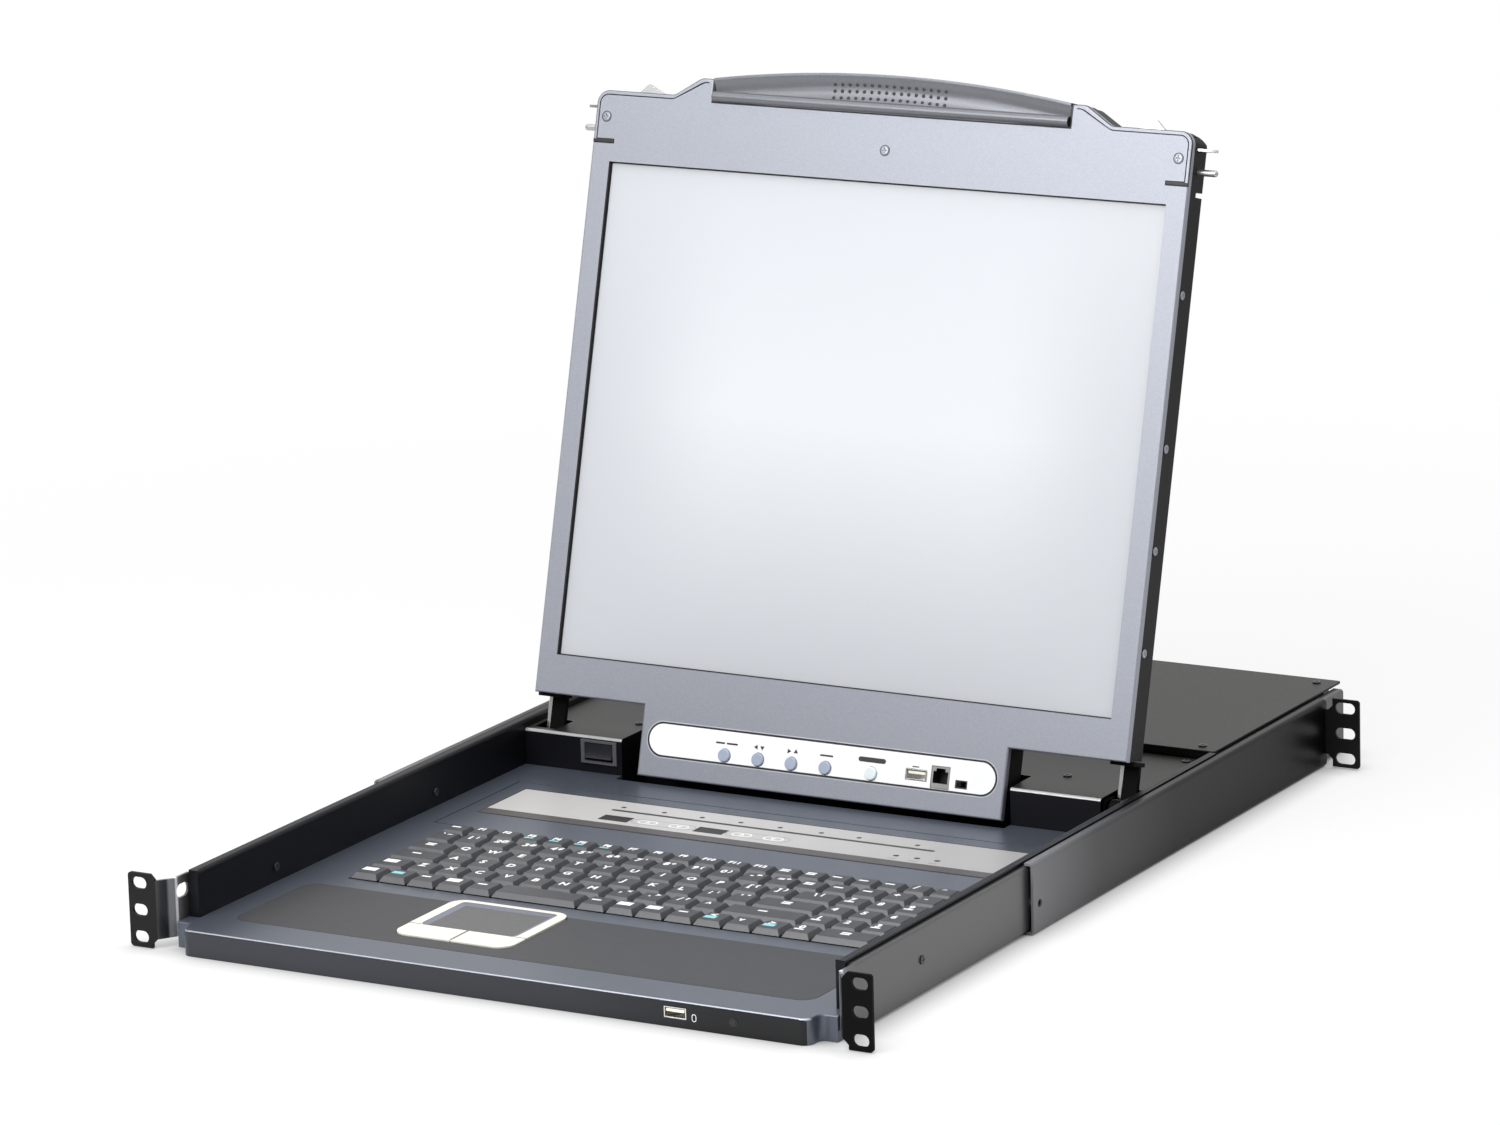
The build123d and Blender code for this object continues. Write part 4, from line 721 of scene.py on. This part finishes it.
def makeHandleDetail():
    clearPick()
    bpy.ops.mesh.primitive_uv_sphere_add(segments=14, ring_count=8, radius=handleLook["dot"])
    bpy.ops.transform.resize(value=(1, 1, handleLook["flat"]))
    dot = settle(bpy.context.object)
    smoothShade(dot)
    arch, dots = handleLook["archRadius"], []
    for column in range(handleLook["columns"]):
        x = handleLook["dotsX"] + (column - (handleLook["columns"] - 1) / 2) * handleLook["pitchX"]
        bow = sqrt(arch ** 2 - x ** 2) - arch
        for row in range(handleLook["rows"]):
            y = handleLook["dotsUp"] + bow + (row - 1) * handleLook["pitchY"]
            dots.append(twinAt(dot, (x, y, hollowDepth(x, y))))
    bpy.data.objects.remove(dot)
    dressLid(joinPieces(dots), "handle_grip_dots", socketBlack)


makeHandleDetail()
handleGapShade = {"inner": 120.4 * mm, "outer": 122.0 * mm, "low": 342.6 * mm, "high": 356.2 * mm,
             "deep": -0.6 * mm, "proud": 0.05 * mm, "under": 0.9 * mm, "edge": 0.3 * mm}
underLow = (-handleGapShade["outer"], handleGapShade["low"] - handleGapShade["under"], handleGapShade["deep"])
underHigh = (handleGapShade["outer"], handleGapShade["low"] + handleGapShade["proud"], handleGapShade["proud"])
gaps = joinPieces([addBlock(underLow, underHigh)] + addSidePair(handleGapShade))
dressLid(roundEdges(gaps, handleGapShade["edge"]), "handle_end_gaps_painted_shade", socketBlack)
print("handle done")


# screws: a domed head with a cross recess, at each screw of the solids, in the tray and behind the display
screwLook = {"radius": 2.6 * mm, "height": 0.9 * mm, "edge": 0.35 * mm, "slot": (1.6 * mm, 0.35 * mm),
             "slotDeep": 0.5 * mm, "sunk": 0.4 * mm, "lidSide": -5 * mm, "chassisTop": 10 * mm,
             "wallInset": 1.2 * mm, "wallY": (0.099, 0.273), "wallZ": 1.5 * mm, "lidBack": -21.9 * mm,
             "backX": (-184, 184), "backUp": (16, 112, 208, 304)}


def makeScrew():
    head = addPeg((0, 0, screwLook["height"] / 2), screwLook["radius"], screwLook["height"], 28)
    roundEdges(head, screwLook["edge"], 3)
    top = screwLook["height"] + 0.1 * mm
    for long, wide in (screwLook["slot"], screwLook["slot"][::-1]):
        low = (-long, -wide, screwLook["height"] - screwLook["slotDeep"])
        cutAway(head, addBlock(low, (long, wide, top)))
    smoothShade(head, 30)
    return head


def screwsAt(mould, name, body, finish, spots, replaced=None):
    # each spot is a point and the direction that the head faces
    heads = []
    for point, facing in spots:
        head = twinAt(mould, (0, 0, 0))
        turn = Vector((0, 0, 1)).rotation_difference(Vector(facing)).to_matrix().to_4x4()
        heads.append(settle(head, Matrix.Translation(point) @ turn))
    piece = dress(joinPieces(heads), name, body, finish)
    if replaced:
        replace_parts(piece, replaced)


def screwSpots(node):
    # the middle of each separate solid of a screw node
    openSolid(node)
    bpy.ops.mesh.separate(type="LOOSE")
    leaveEdit()
    middles = []
    for part in list(bpy.context.selected_objects):
        points = [vertex.co for vertex in part.data.vertices]
        middles.append(sum(points, Vector()) / len(points))
        bpy.data.objects.remove(part)
    return middles


def screwFacing(node, middle):
    outward = (1 if middle.x > 0 else -1, 0, 0)
    if node == "lid_screws":
        return outward if (lidBack @ middle).z < screwLook["lidSide"] else lidOut
    if node == "chassis_screws" and middle.z < screwLook["chassisTop"]:
        return outward
    return (0, 0, 1)


screwMould = makeScrew()
screwFinish = {"lid_screws": slateScrew, "deck_screws": screwBlack, "chassis_screws": screwBlack}
for node, finish in screwFinish.items():
    spots = []
    for middle in screwSpots(node):
        facing = Vector(screwFacing(node, middle))
        spots.append((middle - screwLook["sunk"] * facing, facing))
    screwsAt(screwMould, node + "_heads", bodyOf[node], finish, spots, node)
    if node == "lid_screws":
        fronts = [lidBack @ point for point, facing in spots if abs(facing.x) < 0.5]

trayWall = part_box("right_inner_rail")[0].x - screwLook["wallInset"]
wallScrews = [((side * trayWall, y, screwLook["wallZ"]), (-side, 0, 0))
              for side in (-1, 1) for y in screwLook["wallY"]]
screwsAt(screwMould, "tray_wall_screws", "drawer", railBlack, wallScrews)
backScrews = [(lidPlace @ Vector((x * mm, up * mm, screwLook["lidBack"])), -lidOut)
              for x in screwLook["backX"] for up in screwLook["backUp"]]
screwsAt(screwMould, "lid_back_screws", "display", screwBlack, backScrews)
bpy.data.objects.remove(screwMould)
seat = {"radius": 3.4 * mm, "line": 0.5 * mm, "thick": 0.1 * mm}
rings = [addCircle((spot.x, spot.y, 0), seat["radius"], seat["thick"], seat["line"]) for spot in fronts]
dressLid(joinPieces(rings), "lid_screw_seats", inkDark)
print("screws done")


# control strip: dark outline as painted shade, light rim as painted highlight, marks over the buttons and a frame
# round the slide switch
stripLook = {"half": 117.7 * mm, "middle": -43.5 * mm, "radius": 9.5 * mm, "outline": 1.3 * mm,
             "rim": 0.6 * mm, "proud": 0.06 * mm, "film": 0.2 * mm, "ink": 0.04 * mm, "arrow": 1.7 * mm,
             "marksUp": -41.3 * mm}
stripArrows = ((-43.8, 180), (-39.7, -90), (-21.5, 0), (-16.7, 90))
stripBars = ((-68.6, 6.4, 1.1), (-60.4, 7.6, 1.1), (4.2, 9.0, 1.1), (64.5, 4.6, 0.7))
stripLabel = {"x": 35.1 * mm, "up": -40.6 * mm, "long": 18.5 * mm, "deep": 3.0 * mm}
slideWindow = {"x": 95.6 * mm, "up": -48.6 * mm, "half": 4.0 * mm, "tall": 2.5 * mm, "line": 0.7 * mm}


def addArrow(x, y, z, turn, radius):
    clearPick()
    bpy.ops.mesh.primitive_cylinder_add(vertices=3, radius=radius, depth=2 * stripLook["ink"],
                                        location=(x, y, z), rotation=(0, 0, radians(turn - 90)))
    return settle(bpy.context.object)


def addBar(x, y, z, long, deep):
    # a flat printed bar with round ends
    return addPill((x, y, z), long / 2, deep / 2, 2 * stripLook["ink"])


def addPrintFrame(centre, half, tall, line):
    x, y, z = centre
    low = (x - half, y - tall, z - stripLook["ink"])
    return addFrame(low, (x + half, y + tall, z + stripLook["ink"]), line)


def makeStripDetail():
    half, radius = stripLook["half"], stripLook["radius"]
    for name, finish in (("outline", socketBlack), ("rim", rimHighlight)):
        line = stripLook[name]
        half, radius = half + line, radius + line
        ring = addPillRing((0, stripLook["middle"], 0), half, radius, 2 * stripLook["proud"], line)
        dressLid(ring, "strip_" + name, finish)
    film, up = stripLook["film"], stripLook["marksUp"]
    marks = [addArrow(x * mm, up, film, turn, stripLook["arrow"]) for x, turn in stripArrows]
    marks += [addBar(x * mm, up, film, long * mm, deep * mm) for x, long, deep in stripBars]
    marks.append(addBar(stripLabel["x"], stripLabel["up"], film, stripLabel["long"], stripLabel["deep"]))
    window = (slideWindow["x"], slideWindow["up"], film)
    marks.append(addPrintFrame(window, slideWindow["half"], slideWindow["tall"], slideWindow["line"]))
    dressLid(joinPieces(marks), "strip_marks", inkDark)


makeStripDetail()

# a dark block under each upper corner of the bezel, painted shade standing for a slot
slotLook = {"inner": 187.1 * mm, "outer": 201.3 * mm, "low": 313.4 * mm, "high": 315.4 * mm,
            "deep": -0.5 * mm, "proud": 0.05 * mm, "edge": 0.25 * mm}
cornerSlots = roundEdges(joinPieces(addSidePair(slotLook)), slotLook["edge"])
dressLid(cornerSlots, "bezel_corner_slots", socketBlack)

# painted shade: a dark frame along the edge of the screen inside the bezel's window
screenEdgeShade = {"half": 188.5 * mm, "top": 302 * mm, "face": -3.4 * mm, "rise": 0.15 * mm, "line": 0.8 * mm}
edgeLow = (-screenEdgeShade["half"], 0, screenEdgeShade["face"])
edgeHigh = (screenEdgeShade["half"], screenEdgeShade["top"], screenEdgeShade["face"] + screenEdgeShade["rise"])
dressLid(addFrame(edgeLow, edgeHigh, screenEdgeShade["line"]), "screen_edge_painted_shade", socketBlack)
print("strip and screen done")


# bright leaf along the inner edge of each hinge arm
leafLook = {"spots": (-200.8 * mm, 189.2 * mm), "wide": 2.4 * mm, "low": -46 * mm, "high": -26.2 * mm,
            "back": -18.6 * mm, "front": -17.7 * mm, "edge": 0.35 * mm}
leaves = []
for x in leafLook["spots"]:
    low = (x, leafLook["low"], leafLook["back"])
    leaves.append(addBlock(low, (x + leafLook["wide"], leafLook["high"], leafLook["front"])))
leaves = roundEdges(joinPieces(leaves), leafLook["edge"], 3)
dressLid(leaves, "hinge_leaf_edges", nickel)


# rear sockets: a hollow in each shell with a dark insert, rows of dark discs as painted shade of pin holes, and a
# nut at each side
portLook = {"pitch": 34 * mm, "count": 8, "console": 165 * mm, "face": 661 * mm, "deep": 1.6 * mm,
            "flange": 656 * mm, "top": 7.5 * mm, "low": 6.5 * mm, "half": 3.3 * mm, "pinX": 2.3 * mm,
            "pinZ": 2.0 * mm, "pin": 0.55 * mm, "pinTall": 0.12 * mm, "pinLean": 0.25, "nutX": 12.6 * mm,
            "nut": 2.5 * mm, "nutTall": 3.6 * mm, "nutHole": 1.2 * mm, "nutEdge": 0.25 * mm,
            "floorFrom": 658 * mm, "floorTo": 660.5 * mm}


def addHollow(x):
    # a D-shaped block that cuts the hollow, wider at the top
    front = portLook["face"] - portLook["deep"]
    hollow = addBlock((x - portLook["low"], front, -portLook["half"]),
                      (x + portLook["low"], portLook["face"] + 1 * mm, portLook["half"]))
    for side in (-1, 1):
        widen = side * (portLook["top"] - portLook["low"])
        movePoints(hollow, lambda spot: spot.z > 0 and side * (spot.x - x) > 0, (widen, 0, 0))
    return hollow


def makeNut():
    tall = portLook["nutTall"]
    nut = roundEdges(addPeg((0, 0, tall / 2), portLook["nut"], tall, 6), portLook["nutEdge"])
    return cutAway(nut, addPeg((0, 0, tall), portLook["nutHole"], tall, 16))


def insertFloor(spot, normal):
    return normal.y > 0.9 and portLook["floorFrom"] < spot.y < portLook["floorTo"]


def makePortDetail(node, places):
    for x in places:
        cutAway(shells[node], addHollow(x))
    paintFaces(shells[node], portInsert, insertFloor)
    backward = Matrix.Rotation(radians(-90), 4, "X")
    nutMould, nuts, pins = makeNut(), [], []
    pinMould = addPeg((0, 0, 0), portLook["pin"], portLook["pinTall"], 10)
    for x in places:
        for side in (-1, 1):
            spot = Matrix.Translation((x + side * portLook["nutX"], portLook["flange"], 0)) @ backward
            nuts.append(settle(twinAt(nutMould, (0, 0, 0)), spot))
        for column in range(-2, 3):
            for row in (-1, 0, 1):
                pinX = x + (column + row * portLook["pinLean"]) * portLook["pinX"]
                place = (pinX, portLook["face"] - portLook["deep"], row * portLook["pinZ"])
                pins.append(settle(twinAt(pinMould, (0, 0, 0)), Matrix.Translation(place) @ backward))
    bpy.data.objects.remove(nutMould)
    bpy.data.objects.remove(pinMould)
    dress(joinPieces(nuts), node + "_nuts", bodyOf[node], zincSteel)
    dress(joinPieces(pins), node + "_pin_holes", bodyOf[node], socketBlack)


firstPort = -portLook["pitch"] * (portLook["count"] - 1) / 2
portRow = [firstPort + portLook["pitch"] * count for count in range(portLook["count"])]
makePortDetail("computer_ports", portRow)
makePortDetail("console_port", [portLook["console"]])
print("hinges and rear sockets done")


# the front lip's own place: x across, y up, z out of its front face
frontPlace = Matrix(((1, 0, 0, 0), (0, 0, -1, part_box("front_usb_port")[0].y), (0, 1, 0, 0), (0, 0, 0, 1)))
usbLook = {"half": 5.7 * mm, "low": 0.35 * mm, "high": 2.05 * mm, "back": -10.9 * mm, "front": -0.35 * mm,
           "contacts": (-3.5 * mm, -1.0 * mm, 1.0 * mm, 3.5 * mm), "contact": 0.5 * mm, "edge": 0.2 * mm,
           "contactEdge": 0.05 * mm, "contactUp": (-0.15 * mm, 0.1 * mm), "contactOut": (1 * mm, -0.3 * mm)}
usbSpots = {"front_usb": (119.8 * mm, -13.8 * mm, frontPlace, "drawer"),
            "strip_usb": (65.3 * mm, -46.0 * mm, lidPlace, "display")}


def makeUsbInside(name, x, y, place, body):
    low, back, front = y + usbLook["low"], usbLook["back"], usbLook["front"]
    tongueLow = (x - usbLook["half"], low, back)
    tongue = addBlock(tongueLow, (x + usbLook["half"], y + usbLook["high"], front))
    tongue = settle(roundEdges(tongue, usbLook["edge"]), place)
    dress(tongue, name + "_tongue", body, ivoryPlastic)
    contacts = []
    half, up, out = usbLook["contact"], usbLook["contactUp"], usbLook["contactOut"]
    for shift in usbLook["contacts"]:
        contactLow = (x + shift - half, low + up[0], back + out[0])
        contacts.append(addBlock(contactLow, (x + shift + half, low + up[1], front + out[1])))
    strips = settle(roundEdges(joinPieces(contacts), usbLook["contactEdge"]), place)
    dress(strips, name + "_contacts", body, zincSteel)


for name, spot in usbSpots.items():
    makeUsbInside(name, *spot)

# lip marks: a dark ring round the power light as painted shade of its recess, and a plain pointer mark beside the
# socket
lipLook = {"light": (156.2 * mm, -14.6 * mm), "ring": 2.5 * mm, "ringLine": 0.9 * mm, "ringTall": 0.5 * mm,
           "pointer": (131.7 * mm, -15.3 * mm), "pointerHalf": 2.2 * mm, "pointerRadius": 1.4 * mm,
           "pointerTall": 0.08 * mm, "line": 0.35 * mm}
lightRing = addCircle((*lipLook["light"], 0), lipLook["ring"], lipLook["ringTall"], lipLook["ringLine"])
dress(settle(lightRing, frontPlace), "power_light_ring", "drawer", socketBlack)
pointer = addPillRing((0, 0, 0), lipLook["pointerHalf"], lipLook["pointerRadius"], lipLook["pointerTall"],
                      lipLook["line"])
upright = Matrix.Translation((*lipLook["pointer"], 0)) @ Matrix.Rotation(radians(90), 4, "Z")
dress(settle(settle(pointer, upright), frontPlace), "lip_pointer_mark", "drawer", legendWhite)
print("sockets done")

# status panel: printed line, dots, a dark border as painted shade of its recess, and two pairs of press places
# with arrows
panelLook = {"line": (4.0, 308.0, 218.0, 3.0), "dotsUp": 315.0, "dot": (3.3, 3.0),
             "dots": (-100.6, -72.8, -46.8, -20.5, 6.2, 33.9, 59.1, 97.9),
             "lights": (96.6, 110.4, 123.6), "lightsUp": 291.0, "light": (3.9, 3.0),
             "labelsUp": 285.2, "label": (6.0, 1.2), "groups": (-60.4, 3.5), "groupUp": 292.4,
             "group": (21.4, 4.9, 0.45), "windows": (-92.8, -28.1), "windowUp": 292.2,
             "window": (9.9, 5.1, 0.8), "recessShade": 1.1, "pressX": 10.6, "press": (6.6, 3.5, 1.1), "arrow": 2.3}


def inMetres(key):
    return [value * mm for value in panelLook[key]]


def makePanelPrint():
    low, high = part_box("status_panel")
    top, ink = high.z, stripLook["ink"]
    dark, grey, pale = [], [], []
    x, y, long, deep = inMetres("line")
    dark.append(addBar(x, y, top, long, deep))
    for x in inMetres("dots"):
        dark.append(addBar(x, panelLook["dotsUp"] * mm, top, *inMetres("dot")))
    for x in inMetres("lights"):
        dark.append(addBar(x, panelLook["lightsUp"] * mm, top, *inMetres("light")))
        grey.append(addBar(x, panelLook["labelsUp"] * mm, top, *inMetres("label")))
    recessShade = panelLook["recessShade"] * mm
    dark.append(addFrame((low.x, low.y, top - ink), (high.x, high.y, top + ink), recessShade))
    for x in inMetres("windows"):
        dark.append(addPrintFrame((x, panelLook["windowUp"] * mm, top), *inMetres("window")))
    up = panelLook["groupUp"] * mm
    for middle in inMetres("groups"):
        half, radius, line = inMetres("group")
        grey.append(addPillRing((middle, up, top), half, radius, 2 * ink, line))
        half, radius, line = inMetres("press")
        for side in (-1, 1):
            x = middle + side * panelLook["pressX"] * mm
            pale.append(addPillRing((x, up, top), half, radius, 2 * ink, line))
            pale.append(addArrow(x, up, top, -side * 90, panelLook["arrow"] * mm))
    for name, finish, group in (("dark", inkDark, dark), ("grey", inkGrey, grey), ("pale", inkPale, pale)):
        dress(joinPieces(group), "panel_%s_print" % name, "drawer", finish)


makePanelPrint()

# the line between the two touchpad buttons
padLook = {"inset": 0.3 * mm, "size": (0.7 * mm, 0.69 * mm), "edge": 0.02 * mm, "back": 9.4 * mm,
           "front": -8.4 * mm}
buttonNode = "touchpad_left_button"
buttonLow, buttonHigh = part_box(buttonNode)
buttonMiddle = (buttonLow.y + buttonHigh.y) / 2
padLine = addBar(buttonHigh.x - padLook["inset"], buttonMiddle, buttonHigh.z, *padLook["size"])
applyModifier(padLine, "BEVEL", width=padLook["edge"], segments=1)
movePoints(padLine, lambda spot: spot.y > buttonMiddle, (0, padLook["back"], 0))
movePoints(padLine, lambda spot: spot.y < buttonMiddle, (0, padLook["front"], 0))
dress(padLine, "touchpad_button_line", bodyOf[buttonNode], inkDark)

# sloped edge between the touchpad and its frame
slopeLook = {"line": 3.2 * mm, "front": 1.4 * mm, "drop": 1.0 * mm, "top": -6.08 * mm, "sunk": 0.1 * mm,
             "edge": 0.08 * mm}


def makePadSlope():
    low, high = padInner
    line, middle = slopeLook["line"], (low.y + high.y) / 2
    slope = addFrame((low.x, low.y, high.z - slopeLook["sunk"]), (high.x, high.y, slopeLook["top"]), line)

    def inside(spot):
        across = low.x + line / 2 < spot.x < high.x - line / 2
        return across and low.y + line / 2 < spot.y < high.y - line / 2

    movePoints(slope, lambda spot: spot.z > high.z and inside(spot), (0, 0, -slopeLook["drop"]))
    movePoints(slope, lambda spot: spot.y < middle and inside(spot), (0, slopeLook["front"] - line, 0))
    node = "touchpad_frame"
    dress(roundEdges(slope, slopeLook["edge"]), "touchpad_slope", bodyOf[node], padSlope)


makePadSlope()
print("panel done")


# camera at the photograph's place
cameraLook = {"lens": 167.75, "sensor": 36.0, "spot": (1.96478, -3.12971, 1.12642), "azimuth": -29.817,
              "elevation": 13.781, "roll": -1.593, "farClip": 50}


def setCamera():
    azimuth, elevation, roll = (radians(cameraLook[key]) for key in ("azimuth", "elevation", "roll"))
    forward = Vector((sin(azimuth) * cos(elevation), cos(azimuth) * cos(elevation), -sin(elevation)))
    right = forward.cross(Vector((0, 0, 1))).normalized()
    upward = right.cross(forward)
    across = cos(roll) * right + sin(roll) * upward
    along = cos(roll) * upward - sin(roll) * right
    clearPick()
    bpy.ops.object.camera_add(location=cameraLook["spot"])
    camera = bpy.context.object
    camera.data.lens = cameraLook["lens"]
    camera.data.sensor_width = cameraLook["sensor"]
    camera.data.clip_end = cameraLook["farClip"]
    turn = Matrix((across, along, -forward)).transposed().to_4x4()
    camera.matrix_world = Matrix.Translation(cameraLook["spot"]) @ turn
    bpy.context.scene.camera = camera


# white studio: floor and world look white, the room is darker in front, and the floor keeps the shadow
studio = {"floorSize": 30.0, "floorY": 0.3, "floorDrop": 0.2 * mm, "floorColour": (0.9, 0.9, 0.9),
          "floorRough": 0.9, "nearGlow": 0.8, "farGlow": 1.0, "glowReach": (0.45, 1.3),
          "contactReach": 0.022, "contactSamples": 8, "worldFill": 0.55, "frontFloor": 0.2,
          "rearFloor": 0.06, "frontRoom": 0.3, "floorRise": (-0.45, -0.2), "floorFall": (-0.15, 0.2),
          "roomFade": (-0.9, 0.1)}
lamps = {
    "overheadBox": {"spot": (0.0, 0.1, 1.9), "aim": (0, 0.25, 0), "size": (2.4, 2.0), "power": 20},
    "frontLeftBox": {"spot": (-0.22, -1.15, 1.3), "aim": (0, 0.35, 0.3), "size": (1.5, 1.0), "power": 32},
}


def fadeAlong(tree, coordinate, fade, front, rear=1.0):
    # one value in front of the object and another behind it
    return addSpread(tree, addPlaced(tree, "SeparateXYZ", coordinate)["Y"], fade, (front, rear))


def blendShaders(tree, share, plain, seen, end):
    blend = addNode(tree, "MixShader")
    for start, socket in ((share, 0), (plain, 1), (seen, 2)):
        link(tree, start, blend.inputs[socket])
    link(tree, blend.outputs["Shader"], tree.nodes[end].inputs["Surface"])


def seenShare(tree):
    # rays from the camera and through glass see white, and gloss sees a floor darker in front and behind
    rays = addNode(tree, "LightPath").outputs
    direct = addMath(tree, "ADD", rays["Is Camera Ray"], rays["Is Transmission Ray"])
    rise = fadeAlong(tree, "Object", studio["floorRise"], studio["frontFloor"])
    fall = fadeAlong(tree, "Object", studio["floorFall"], 1.0, studio["rearFloor"])
    gloss = addMath(tree, "MULTIPLY", rays["Is Glossy Ray"], addMath(tree, "MULTIPLY", rise, fall))
    return addMath(tree, "ADD", direct, gloss)


def farGlow(tree):
    # near the object the floor shows its shadow, and further away it is white
    spot = addNode(tree, "TexCoord")
    reach = addNode(tree, "VectorMath")
    reach.operation = "LENGTH"
    link(tree, spot.outputs["Object"], reach.inputs[0])
    glow = (studio["nearGlow"], studio["farGlow"])
    return addSpread(tree, reach.outputs["Value"], studio["glowReach"], glow)


def setFloor():
    clearPick()
    place = (0, studio["floorY"], cadBox[0].z - studio["floorDrop"])
    bpy.ops.mesh.primitive_plane_add(size=studio["floorSize"], location=place)
    floor = bpy.context.object
    floor.name = "studio_floor"
    finish, tree, shader = startFinish("studio_paper", studio["floorColour"], studio["floorRough"])
    glow = addNode(tree, "Emission")
    # ambient occlusion dims the floor's white glow near the object: a painted contact shadow
    contact = addNode(tree, "AmbientOcclusion")
    contact.samples = studio["contactSamples"]
    contact.inputs["Distance"].default_value = studio["contactReach"]
    link(tree, contact.outputs["AO"], glow.inputs["Strength"])
    share = addMath(tree, "MULTIPLY", seenShare(tree), farGlow(tree))
    blendShaders(tree, share, shader.outputs["BSDF"], glow.outputs["Emission"], "Material Output")
    floor.data.materials.append(finish)


def setWorld():
    world = bpy.data.worlds.new("studio_world")
    world.use_nodes = True
    tree = world.node_tree
    fill = tree.nodes["Background"]
    fill.inputs["Color"].default_value = (1, 1, 1, 1)
    white = addNode(tree, "Background")
    white.inputs["Color"].default_value = (1, 1, 1, 1)
    rays = addNode(tree, "LightPath").outputs
    room = fadeAlong(tree, "Generated", studio["roomFade"], studio["frontRoom"])
    link(tree, addMath(tree, "MULTIPLY", room, studio["worldFill"]), fill.inputs["Strength"])
    link(tree, addMath(tree, "MAXIMUM", rays["Is Camera Ray"], room), white.inputs["Strength"])
    seen = addMath(tree, "ADD", rays["Is Camera Ray"], rays["Is Glossy Ray"])
    seen = addMath(tree, "ADD", seen, rays["Is Transmission Ray"])
    blendShaders(tree, seen, fill.outputs["Background"], white.outputs["Background"], "World Output")
    bpy.context.scene.world = world


def setLamps():
    for name, look in lamps.items():
        clearPick()
        bpy.ops.object.light_add(type="AREA", location=look["spot"])
        lamp = bpy.context.object
        lamp.name = name
        lamp.data.shape = "RECTANGLE"
        lamp.data.size, lamp.data.size_y = look["size"]
        lamp.data.energy = look["power"]
        aim = Vector(look["aim"]) - Vector(look["spot"])
        lamp.rotation_euler = aim.to_track_quat("-Z", "Y").to_euler()


setCamera()
setFloor()
setWorld()
setLamps()
bpy.context.scene.view_settings.view_transform = "Standard"
print("studio set")
